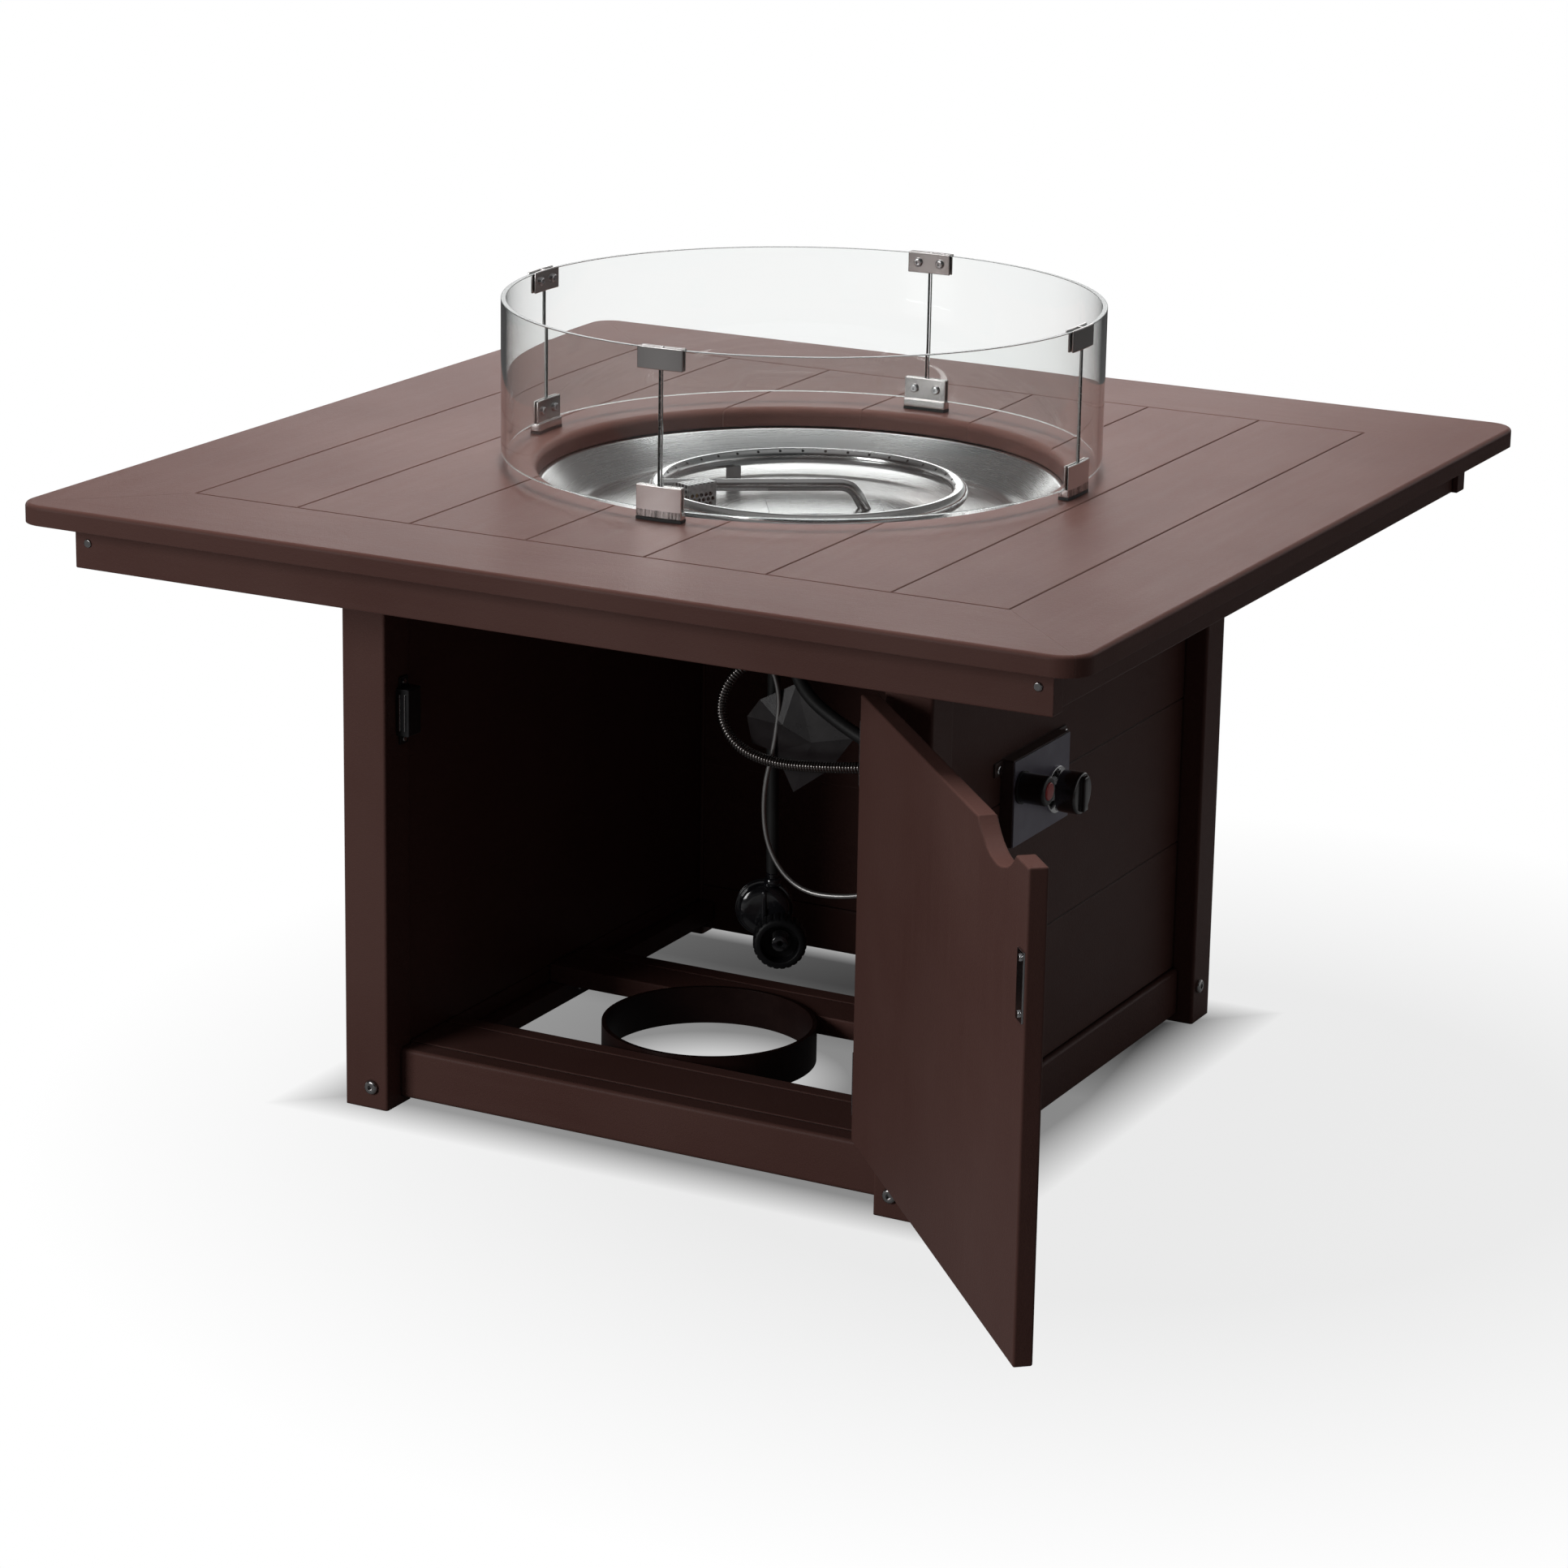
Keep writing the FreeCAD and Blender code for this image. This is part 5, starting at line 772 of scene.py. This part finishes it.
@dataclass
class WindGuard:
    """Four curved panes of glass, held at their joints by clips with rounded edges."""

    outer: float = 0.2910
    inner: float = 0.2860
    glass_low: float = 0.6218
    glass_high: float = 0.7715
    joints: Tuple[float, ...] = (1.0, 91.0, 181.0, 271.0)
    half_gap: float = 0.00125
    arris: float = 0.0006
    sheet: float = 0.0020
    clip_half: float = 0.0235
    clip_edge: float = 0.0007
    upper_clip: Tuple[float, float] = (0.7520, 0.7730)
    lower_clip: Tuple[float, float] = (0.6138, 0.6440)
    foot_step: float = 0.0020
    web_play: float = 0.0003
    web_bite: float = 0.0005
    web_inset: float = 0.0002
    web_edge: float = 0.0003

    def build_glass(self, palette: Palette) -> None:
        """Blow the four panes. Their ground edges get a finish of their own."""
        gap = math.degrees(self.half_gap / self.outer)
        grids = [slab_grid(self.inner, self.outer, self.glass_low, self.glass_high, joint + gap,
                           joint + 90.0 - gap, self.arris, 72) for joint in self.joints]
        panes = skin("glass_panes", grids, round_u=False, sharp_degrees=50.0)
        put(panes, palette["clear_glass"], "wind_guard", ["glass_panels"])
        panes.data.materials.append(palette["glass_edge"])
        count = len(panes.data.polygons)
        normal, centre = np.empty(count * 3), np.empty(count * 3)
        panes.data.polygons.foreach_get("normal", normal)
        panes.data.polygons.foreach_get("center", centre)
        normal, centre = normal.reshape(-1, 3), centre.reshape(-1, 3)
        outward = centre[:, :2] / np.linalg.norm(centre[:, :2], axis=1, keepdims=True)
        facing = np.abs((normal[:, :2] * outward).sum(axis=1))
        panes.data.polygons.foreach_set("material_index", (facing < 0.9).astype(np.int32))

    def clip_grids(self, low: float, high: float) -> list:
        """Return one row of clips: an outer and an inner plate, the web between, and the foot.

        Only the lower clips have a foot, which reaches up to the lower edge of the glass.
        """
        half = math.degrees(self.clip_half / self.outer)
        web = math.degrees((self.half_gap - self.web_play) / self.outer)
        inner, outer = self.inner - self.sheet, self.outer + self.sheet
        grids = []
        for joint in self.joints:
            ends = (joint - half, joint + half, self.clip_edge)
            grids.append(slab_grid(self.outer, outer, low, high, *ends))
            grids.append(slab_grid(inner, self.inner, low, high, *ends))
            grids.append(slab_grid(self.inner - self.web_bite, self.outer + self.web_bite,
                                   low + self.web_inset, high - self.web_inset, joint - web,
                                   joint + web, self.web_edge, 2))
            if low < self.glass_low:
                grids.append(slab_grid(inner - self.foot_step, outer, low, self.glass_low, *ends))
        return grids

    def build(self, palette: Palette) -> None:
        """Make the panes and the clips, and finish the screws and the pads."""
        self.build_glass(palette)
        for name, node, heights in (("clips_upper_bent", "guard_clips_upper", self.upper_clip),
                                    ("clips_lower_bent", "guard_clips_lower", self.lower_clip)):
            clips = skin(name, self.clip_grids(*heights), round_u=False, sharp_degrees=50.0)
            put(clips, palette["clip_steel"], "wind_guard", [node])
        finish_node(palette["bright_steel"], "guard_clip_screws")
        finish_node(palette["black_rubber"], "guard_pads")


# ---------------------------------------------------------------------------
# Knob, regulator, hand nut and tag
# ---------------------------------------------------------------------------

@dataclass
class GasKnob:
    """The gas knob: a round barrel with a full-width grip bar across its face, and its stem."""

    centre: Triple = (0.3096, -0.0460, 0.3380)
    radius: float = 0.0205
    length: float = 0.0204
    recess_radius: float = 0.0175
    recess_depth: float = 0.0034
    rounding: Tuple[float, ...] = (0.0004, 0.0004, 0.0006, 0.0030)
    grip_half: float = 0.0045
    grip_reach: float = 0.0244
    grip_length: float = 0.0350
    grip_sunk: float = 0.0015
    stem_radius: float = 0.0045
    stem_tail: float = 0.0600

    def build(self, palette: Palette) -> None:
        """Turn the barrel and the stem, and lay the bar across."""
        outline = filleted([(0.0, self.recess_depth), (self.recess_radius, self.recess_depth),
                            (self.recess_radius, 0.0), (self.radius, 0.0),
                            (self.radius, self.length), (0.0, self.length)], self.rounding, 6)
        barrel = turned_grid(outline, self.centre, RIGHT, 96)
        stem = turned_grid([(0.0, -self.stem_tail), (self.stem_radius, -self.stem_tail),
                            (self.stem_radius, 0.5 * self.length), (0.0, 0.5 * self.length)],
                           self.centre, RIGHT, 40)
        t = np.concatenate([[-1.0, -0.985, -0.95], np.linspace(-0.9, 0.9, 9), [0.95, 0.985, 1.0]])
        size = np.sqrt(1.0 - np.clip((np.abs(t) - 0.9) / 0.1, 0.0, 0.98) ** 2)
        low, high = self.length - self.grip_sunk, self.grip_reach
        middle = np.array([self.centre[0] + 0.5 * (low + high), self.centre[1], self.centre[2]])
        rows = middle + 0.5 * self.grip_length * t[:, None] * np.array(UP)
        halves = np.stack([self.grip_half * (0.6 + 0.4 * size), 0.5 * (high - low) * size], axis=1)
        grip = bar_grid(rows, halves, (0.0, 1.0, 0.0), RIGHT, 40, 5.0)
        knob = skin("gas_knob_turned", [barrel, stem, grip], round_u=False, sharp_degrees=40.0)
        put(knob, palette["black_knob"], "knob", ["gas_knob"])


@dataclass
class IgniterButton:
    """The red button in the middle of the igniter: a short round bar with a rounded face."""

    foot: Triple = (0.3137, -0.1225, 0.3595)
    radius: float = 0.0089
    length: float = 0.0170

    def build(self, palette: Palette) -> None:
        """Turn the button."""
        outline = filleted([(0.0, 0.0), (self.radius, 0.0), (self.radius, self.length),
                            (0.0, self.length)], (0.0004, 0.0022), 6)
        button = skin("igniter_button_turned", [turned_grid(outline, self.foot, RIGHT, 72)],
                      round_u=False, sharp_degrees=40.0)
        put(button, palette["red_plastic"], "igniter_button", ["igniter_button"])


@dataclass
class Regulator:
    """The round regulator that hangs on the supply hose, with its nipple and hand nut.

    Its own axes have -Y to the front. It is turned about the upright axis and then moved.
    """

    place: Triple = (-0.043, 0.020, 0.144)
    turn: float = 27.4
    body_at: Triple = (0.0, 0.010, 0.0)
    body_corners: Profile = (
        (0.0, 0.0), (0.026, 0.0), (0.026, 0.003), (0.029, 0.003), (0.029, 0.006), (0.026, 0.006),
        (0.026, 0.009), (0.029, 0.009), (0.029, 0.012), (0.0262, 0.012), (0.0250, 0.0170),
        (0.0190, 0.0200), (0.0, 0.0205))
    body_rounding: Tuple[float, ...] = (0.001,) + (0.0008,) * 8 + (0.002, 0.003, 0.004)
    outlet_at: Triple = (0.008, 0.0, 0.0)
    outlet_corners: Profile = (
        (0.0, 0.018), (0.005, 0.018), (0.005, 0.0335), (0.0064, 0.0345), (0.0064, 0.0360),
        (0.005, 0.0370), (0.005, 0.038), (0.0, 0.038))
    hexagon_flat: float = 0.0085
    hexagon_heights: Tuple[float, float] = (0.024, 0.032)
    hexagon_chamfer: float = 0.0008
    inlet_at: Triple = (0.0165, -0.0200, -0.0235)
    nipple_corners: Profile = (
        (0.0, -0.028), (0.015, -0.028), (0.015, -0.0012), (0.0135, 0.0), (0.008, 0.0),
        (0.008, 0.0098), (0.011, 0.0098), (0.011, 0.0123), (0.008, 0.0123), (0.008, 0.0235),
        (0.0074, 0.024), (0.003, 0.024), (0.003, 0.004), (0.0, 0.004))
    rib_front: float = -0.0108
    rib_half: float = 0.022
    nut_corners: Profile = (
        (0.00815, 0.0004), (0.0240, 0.0004), (0.0270, 0.0034), (0.0270, 0.0234), (0.0240, 0.0264),
        (0.0196, 0.0264), (0.0190, 0.0256), (0.0190, 0.0094), (0.00815, 0.0094))
    nut_rounding: Tuple[float, ...] = (0.0, 0.0028, 0.0028, 0.0028, 0.0010, 0.0006, 0.0005, 0.0)
    flutes: int = 24
    flute_depth: float = 0.0011
    flute_root: float = 0.0250
    flute_rise: float = 0.0015

    def set_out(self, grid: np.ndarray) -> np.ndarray:
        """Return points carried from the regulator's own axes to where it hangs."""
        return turned_about_z(grid, self.turn, self.place)

    def build_body(self, palette: Palette) -> bpy.types.Object:
        """Turn the casing, its outlet and its inlet boss, and set the rib on the front."""
        casing = turned_grid(filleted(self.body_corners, self.body_rounding, 4), self.body_at,
                             FRONT, 112)
        outlet = turned_grid(self.outlet_corners, self.outlet_at, UP, 36)
        corner = self.hexagon_flat / math.cos(HEXAGON_HALF)
        (low, high), cut = self.hexagon_heights, self.hexagon_chamfer
        collar = turned_grid([(0.0, low), (corner - cut, low), (corner, low + cut),
                              (corner, high - cut), (corner - cut, high), (0.0, high)],
                             self.outlet_at, UP, 6)
        boss = turned_grid(self.nipple_corners, self.inlet_at, FRONT, 56)
        t = np.linspace(-1.0, 1.0, 21)
        taper = np.sqrt(np.clip(1.0 - np.abs(t) ** 10, 0.0, 1.0)) * 0.9 + 0.1
        rows = np.stack([0.0 * t, 0.0 * t + self.rib_front, self.rib_half * t], axis=1)
        halves = np.stack([0.0025 * taper, 0.0022 * taper], axis=1)
        rib = bar_grid(rows, halves, RIGHT, FRONT, 28, 3.0)
        grids = [self.set_out(grid) for grid in (casing, outlet, collar, boss, rib)]
        body = skin("regulator_casting", grids, round_u=False, sharp_degrees=50.0)
        return put(body, palette["black_casting"], "cabinet", ["regulator"])

    def build_nut(self, palette: Palette) -> bpy.types.Object:
        """Turn the hand nut. Its rim sinks by depth * max(0, cos(flutes * turn)) ^ 2 in each flute."""
        outline = np.asarray(self.nut_corners)
        outline = filleted(np.concatenate([outline, outline[:1]]), self.nut_rounding, 4)[1:]
        apart = np.linalg.norm(outline - np.roll(outline, 1, axis=0), axis=1) > 1e-7
        outline = outline[apart]
        turn = np.linspace(0.0, TAU, self.flutes * 8, endpoint=False)
        wave = np.maximum(0.0, np.cos(self.flutes * turn)) ** 2
        reach = np.clip((outline[:, 0] - self.flute_root) / self.flute_rise, 0.0, 1.0)
        swell = -self.flute_depth * reach[:, None] * wave[None, :]
        grid = turned_grid(outline, self.inlet_at, FRONT, self.flutes * 8, swell)
        nut = skin("hand_nut_fluted", [self.set_out(grid)], sharp_degrees=40.0)
        return put(nut, palette["nut_black"], "hand_nut", ["hand_nut"])


@dataclass
class HoseTag:
    """The folded sheet on the supply hose: flat facets that meet at creases. Its near-black colour is
    painted shade.
    """

    corners: Tuple[Triple, ...] = (
        (-0.0310, -0.0450, 0.3610), (-0.0170, -0.0450, 0.3800), (0.0230, -0.0450, 0.4020),
        (0.0870, -0.0450, 0.3560), (0.0600, -0.0430, 0.3200), (0.0190, -0.0400, 0.2900),
        (0.0010, -0.0450, 0.3300), (-0.0260, -0.0430, 0.3340), (0.0120, -0.0520, 0.3600),
        (0.0420, -0.0490, 0.3460))
    facets: Tuple[Tuple[int, ...], ...] = (
        (0, 1, 8), (1, 2, 8), (2, 9, 8), (2, 3, 9), (3, 4, 9), (4, 5, 9), (5, 6, 9), (6, 8, 9),
        (6, 7, 8), (7, 0, 8))
    thickness: float = 0.0007

    def build(self, palette: Palette) -> bpy.types.Object:
        """Fold the sheet and give it its thickness."""
        mesh = bpy.data.meshes.new("hose_tag_folded")
        mesh.from_pydata(list(self.corners), [], list(self.facets))
        tag = linked("hose_tag_folded", mesh)
        wall = tag.modifiers.new("thickness", "SOLIDIFY")
        wall.thickness = self.thickness
        wall.offset = 0.0
        return put(tag, palette["tag_shade_dark"], "cabinet", ["hose_tag"])


# ---------------------------------------------------------------------------
# Hoses
# ---------------------------------------------------------------------------

def nurbs_line(name: str, points: Sequence[Triple]) -> bpy.types.Object:
    """Return a curve whose one smooth spline has the route's points as its control points."""
    curve = bpy.data.curves.new(name, "CURVE")
    curve.dimensions = "3D"
    curve.resolution_u = 24
    spline = curve.splines.new("NURBS")
    spline.points.add(len(points) - 1)
    flat = np.concatenate([np.asarray(points, dtype=float), np.ones((len(points), 1))], axis=1)
    spline.points.foreach_set("co", flat.ravel())
    spline.order_u = 3
    spline.use_endpoint_u = True
    return linked(name, curve)


def sampled(line: bpy.types.Object) -> np.ndarray:
    """Return the close points of a curve's smooth spline."""
    mesh = bpy.data.meshes.new_from_object(line)
    points = np.empty(len(mesh.vertices) * 3)
    mesh.vertices.foreach_get("co", points)
    bpy.data.meshes.remove(mesh)
    return points.reshape(-1, 3)


@dataclass
class Hoses:
    """The armoured hose to the burner, the supply hose with its tag, and the pilot tube."""

    armour_points: Tuple[Triple, ...] = (
        (0.0575, 0.0494, 0.5440), (0.0787, 0.0626, 0.5007), (0.0740, 0.0620, 0.4460),
        (0.0400, 0.0380, 0.4200), (-0.0040, -0.0160, 0.4280), (-0.0410, -0.0510, 0.4110),
        (-0.0570, -0.0600, 0.3700), (-0.0370, -0.0600, 0.3330), (0.0060, -0.0600, 0.3220),
        (0.0580, -0.0600, 0.3260), (0.1060, -0.0570, 0.3320), (0.1500, -0.0490, 0.3370),
        (0.1920, -0.0410, 0.3340), (0.2320, -0.0410, 0.3340))
    supply_points: Tuple[Triple, ...] = (
        (0.2320, -0.0600, 0.3440), (0.1900, -0.0600, 0.3440), (0.1400, -0.0570, 0.3480),
        (0.0900, -0.0510, 0.3610), (0.0270, -0.0510, 0.3980), (0.0200, -0.0500, 0.4500),
        (-0.0080, -0.0160, 0.4760), (-0.0360, 0.0200, 0.4500), (-0.0360, 0.0200, 0.3950),
        (-0.0380, 0.0230, 0.3000), (-0.0359, 0.0237, 0.1820))
    pilot_points: Tuple[Triple, ...] = (
        (-0.0777, -0.0731, 0.5450), (-0.0777, -0.0731, 0.5070), (-0.0660, -0.0660, 0.4780),
        (-0.0240, -0.0560, 0.4520), (0.0080, -0.0490, 0.4020), (0.0030, -0.0490, 0.3420),
        (-0.0110, -0.0490, 0.2860), (-0.0050, -0.0490, 0.2290), (0.0300, -0.0490, 0.1920),
        (0.0850, -0.0490, 0.1940), (0.1400, -0.0520, 0.2140), (0.1940, -0.0580, 0.2420),
        (0.2380, -0.0620, 0.2620), (0.2520, -0.0620, 0.2900), (0.2520, -0.0620, 0.3160))
    armour_crest: float = 0.0056
    armour_root: float = 0.0047
    armour_ribs: int = 196
    supply_radius: float = 0.0065
    pilot_radius: float = 0.0024
    armour_length: float = 0.6224
    supply_length: float = 0.6255
    pilot_length: float = 0.6757

    def build_armour(self, palette: Palette) -> None:
        """Wind the ribbed hose: its radius swells and sinks once for each rib.

        Radius = root + (crest - root) * (half a raised cosine to the power 0.45), so that the
        crests are broad and the grooves narrow. The two ends are plain for one diameter.
        """
        line = nurbs_line("armour_line", self.armour_points)
        path = sampled(line)
        bpy.data.objects.remove(line)
        total = path_length(path)
        plain = 2 * self.armour_crest
        steps = self.armour_ribs * 8
        places = np.concatenate([[0.0], np.linspace(plain, total - plain, steps + 1), [total]])
        phase = (places - plain) / (total - 2 * plain) * self.armour_ribs * TAU
        swell = (0.5 - 0.5 * np.cos(phase)) ** 0.45
        swell[[0, -1]] = 0.0
        radius = self.armour_root + (self.armour_crest - self.armour_root) * swell
        grid = tube_grid(walk(path, places), radius, 20, (-0.5, 0.85, 0.0))
        hose = skin("armoured_hose_ribs", [grid], round_u=False, sharp_degrees=80.0)
        put(hose, palette["hose_steel"], "cabinet", ["armoured_hose"])

    def build_plain(self, name: str, points: Sequence[Triple], radius: float) -> bpy.types.Object:
        """Return a smooth round hose along a route."""
        hose = nurbs_line(name, points)
        hose.data.bevel_depth = radius
        hose.data.bevel_resolution = 6
        hose.data.use_fill_caps = True
        return hose

    def build(self, palette: Palette, hung: Sequence[bpy.types.Object]) -> None:
        """Lay the three hoses.

        Args:
            palette: the finishes.
            hung: the pieces that hang on the supply hose; not used.
        """
        self.build_armour(palette)
        supply = self.build_plain("supply_hose_line", self.supply_points, self.supply_radius)
        put(supply, palette["black_rubber"], "cabinet", ["supply_hose"])
        pilot = self.build_plain("pilot_tube_line", self.pilot_points, self.pilot_radius)
        put(pilot, palette["tube_metal"], "cabinet", ["pilot_tube"])


# ---------------------------------------------------------------------------
# Floor, lamps and camera
# ---------------------------------------------------------------------------

def standing(first: np.ndarray, second: np.ndarray, third: np.ndarray,
             place: Sequence[float]) -> Matrix:
    """Return the matrix whose axes are three unit vectors, standing at a place."""
    grid = np.eye(4)
    grid[:3] = np.stack([first, second, third, np.asarray(place, dtype=float)], axis=1)
    return Matrix(grid.tolist())


@dataclass
class Studio:
    """A pale floor with painted shade and light, soft lamps and the camera where the photograph's stood.

    Each Span is a brightness and the stretch over which it changes, as Graph.span takes them:
    the value at the stretch's start and end, and then that start and end.
    """

    camera_at: Triple = (2.0155101, -3.8939548, 1.5839953)
    yaw: float = 28.5298
    pitch: float = -15.5525
    roll: float = 0.7247
    lens: float = 106.177
    shift: Tuple[float, float] = (0.04969, -0.04969)
    floor_half: float = 40.0
    floor_drop: float = 0.0004
    floor_grey: float = 0.13
    floor_gloss: float = 0.11
    # painted shade and light on the floor: brighter round the ring, darker to the rear, under the cabinet
    # and right of it
    ring_at: Triple = (-0.040, -0.098, 0.0)
    painted_light_round_ring: Span = (0.56, 0.20, 0.075, 0.14)
    painted_shade_to_rear: Span = (0.04, -0.15, 0.04, 0.22)
    painted_shade_under_cabinet: Span = (0.0, 0.82, 0.28, 0.38)
    painted_shadow_at: Triple = (0.35, 0.0, 0.0)
    painted_shadow_fading_out: Span = (0.0, 0.18, 0.45, 1.05)
    gloss_fades: Span = (1.0, 0.0, 1.1, 1.6)
    all_round: float = 0.075
    ceiling: Span = (1.0, 0.14, 0.02, 0.37)
    front_side: Span = (0.09, 1.0, -0.45, 0.25)
    zenith: Span = (0.0, 0.31, 0.55, 0.98)
    lamps: Tuple[tuple, ...] = (
        ("lamp_above", (-0.4, 0.7, 3.3), (0.0, 0.0, 0.5), (2.6, 2.2), 92.0, False),
        ("lamp_left", (-1.8, -3.8, 1.5), (0.0, -0.2, 0.3), (1.6, 1.6), 50.0, True),
        ("lamp_behind", (-2.0, 3.8, 1.9), (0.0, 0.0, 0.6), (2.2, 0.8), 16.0, True))

    def painted_floor_light(self, recipe: Recipe) -> Socket:
        """Return how much the floor's own glow takes the place of its matt grey.

        The glow is a fixed pattern of painted shade and light, not cast by any lamp: painted shade under
        the cabinet, darker to the rear and to the right of it, a painted pool of light in the ring, and
        plain white further out. The eye sees it, rays straight through glass see it, and mirrored rays see
        a little of it near the table.
        """
        where = recipe.place()
        at = recipe.add("ShaderNodeSeparateXYZ", {0: where}).outputs
        from_ring, from_painted_shadow = (
            recipe.vector_calc("DISTANCE", {0: where, 1: middle}).outputs["Value"]
            for middle in (self.ring_at, self.painted_shadow_at))
        # painted light in the ring and painted shade towards the rear, under the cabinet
        ring_light_and_rear_shade = recipe.calc(recipe.span(from_ring, *self.painted_light_round_ring),
                             recipe.span(at["Y"], *self.painted_shade_to_rear))
        square = recipe.calc(recipe.calc(at["X"], 1.0, "ABSOLUTE"),
                             recipe.calc(at["Y"], 1.0, "ABSOLUTE"), "MAXIMUM")
        # painted shade under the cabinet's footprint, plain glow outside it
        near = recipe.calc(ring_light_and_rear_shade, recipe.span(square, *self.painted_shade_under_cabinet), "MAXIMUM")
        # painted soft shadow round a point to the right of the cabinet, fading further out
        glow = recipe.calc(near, recipe.span(from_painted_shadow, *self.painted_shadow_fading_out))
        ray = recipe.add("ShaderNodeLightPath").outputs
        gloss = recipe.calc(recipe.calc(ray["Is Glossy Ray"], self.floor_gloss, "MULTIPLY"),
                            recipe.span(from_ring, *self.gloss_fades), "MULTIPLY")
        straight = recipe.calc(ray["Is Transmission Ray"],
                               recipe.span(ray["Glossy Depth"], 1.0, 0.0), "MULTIPLY")
        seen = recipe.calc(ray["Is Camera Ray"], recipe.calc(gloss, straight))
        return recipe.calc(glow, seen, "MULTIPLY")

    def build_floor(self) -> None:
        """Lay the floor: matt grey to the lamps, with a glow of its own to the eye that carries painted
        shade and light.
        """
        half, low = self.floor_half, -self.floor_drop
        mesh = bpy.data.meshes.new("floor")
        mesh.from_pydata([(-half, -half, low), (half, -half, low), (half, half, low),
                          (-half, half, low)], [], [(0, 1, 2, 3)])
        floor = linked("floor", mesh)
        recipe = Recipe("floor_white")
        grain = recipe.noise(recipe.place(), 60.0, 3.0)
        pale, dim = (self.floor_grey,) * 3, (0.97 * self.floor_grey,) * 3
        recipe.set(Base_Color=recipe.blend(grain, pale, dim), Roughness=0.7, Specular_IOR_Level=0.1)
        recipe.show(self.painted_floor_light(recipe), recipe.add("ShaderNodeEmission"))
        mesh.materials.append(recipe.material)

    def hang(self, name: str, place: Triple, target: Triple, size: Tuple[float, float],
             power: float, mirrored: bool) -> None:
        """Hang a soft rectangular lamp that faces a point. Gloss shows it only if it is mirrored."""
        data = bpy.data.lights.new(name, "AREA")
        data.shape = "RECTANGLE"
        data.size, data.size_y = size
        data.energy = power
        lamp = linked(name, data)
        back = unit(np.subtract(place, target))
        first, second = across(back)
        lamp.matrix_world = standing(first, second, back, place)
        lamp.visible_glossy = mirrored

    def build_sky(self) -> None:
        """Light all round softly, and show plain white to the eye and through glass.

        Metal and gloss show the same white low down behind the table, where the backdrop
        stands, a dim studio ceiling above it that brightens overhead, and a darker room
        towards the front.
        """
        world = bpy.data.worlds.new("studio")
        bpy.context.scene.world = world
        world.use_nodes = True
        sky = Graph(world.node_tree)
        ray = sky.add("ShaderNodeLightPath").outputs
        way = sky.add("ShaderNodeTexCoord").outputs["Generated"]
        part = sky.add("ShaderNodeSeparateXYZ", {0: way}).outputs
        backdrop = sky.calc(sky.span(part["Z"], *self.ceiling), sky.span(part["Y"], *self.front_side),
                            "MULTIPLY")
        room = sky.calc(backdrop, sky.span(part["Z"], *self.zenith), "MAXIMUM")
        mirrored = sky.calc(ray["Is Glossy Ray"], ray["Glossy Depth"], "MAXIMUM")
        straight = sky.calc(ray["Is Transmission Ray"],
                            sky.calc(ray["Glossy Depth"], 0.5, "LESS_THAN"), "MULTIPLY")
        light = sky.mix(straight, sky.mix(mirrored, self.all_round, room), 1.0)
        inputs = world.node_tree.nodes["Background"].inputs
        sky.feed(inputs["Color"], (1.0, 1.0, 1.0))
        sky.feed(inputs["Strength"], sky.mix(ray["Is Camera Ray"], light, 1.0))

    def build_camera(self) -> None:
        """Set the camera: turned by yaw, tipped by pitch, then rolled about its own line of sight."""
        turn, tip, roll = (math.radians(v) for v in (self.yaw, self.pitch, self.roll))
        ahead = np.array([-math.sin(turn) * math.cos(tip), math.cos(turn) * math.cos(tip),
                          math.sin(tip)])
        right = np.array([math.cos(turn), math.sin(turn), 0.0])
        up = np.cross(right, ahead)
        level, upright = (right * math.cos(roll) + up * math.sin(roll),
                          up * math.cos(roll) - right * math.sin(roll))
        data = bpy.data.cameras.new("camera")
        data.lens = self.lens
        data.sensor_width = 36.0
        data.shift_x, data.shift_y = self.shift
        data.clip_end = 200.0
        camera = linked("camera", data)
        camera.matrix_world = standing(level, upright, -ahead, self.camera_at)
        bpy.context.scene.camera = camera

    def build(self) -> None:
        """Set up the whole studio."""
        bpy.context.scene.view_settings.view_transform = "Standard"
        self.build_floor()
        self.build_sky()
        self.build_camera()
        for lamp in self.lamps:
            self.hang(*lamp)


# ---------------------------------------------------------------------------
# The table's kept pieces
# ---------------------------------------------------------------------------

KEPT_NODES = {
    "board_along_x": ("top_frame_front", "top_frame_back", "aprons_front_back", "rails_front",
                      "rail_rear", "wall_rear", "floor_boards", "floor_board_notched"),
    "board_along_y": ("top_frame_left", "top_frame_right", "top_planks_edge", "top_planks_bitten",
                      "top_planks_short", "top_battens", "aprons_side", "rails_side", "wall_left",
                      "wall_right", "floor_cleats"),
    "board_along_z": ("post_front_left", "post_front_right", "post_rear_left", "post_rear_right",
                      "door"),
    "ring_brown": ("cylinder_ring",),
    "box_brown": ("control_box",),
    "bright_steel": ("strike_plate", "strike_screws", "hinge_door_leaves", "hinge_post_leaves",
                     "control_screws", "catch_poles", "valve_bezel", "stem_sleeve"),
    "bolt_steel": ("post_bolts", "cabinet_screws"),
    "black_plastic": ("catch_body", "igniter_body"),
    "plate_grey": ("control_plate",),
    "brass": ("gas_valve",),
}


def main() -> None:
    """Build the studio and every piece in order."""
    logging.basicConfig(level=logging.INFO, format="%(name)s %(message)s")
    palette = {finish.name: finish.make() for finish in FINISHES}
    Studio().build()
    Burner().build(palette)
    WindGuard().build(palette)
    GasKnob().build(palette)
    IgniterButton().build(palette)
    regulator = Regulator()
    hung = [regulator.build_body(palette), regulator.build_nut(palette), HoseTag().build(palette)]
    Hoses().build(palette, hung)
    for finish, nodes in KEPT_NODES.items():
        finish_node(palette[finish], *nodes)


if __name__ == "__main__":
    main()
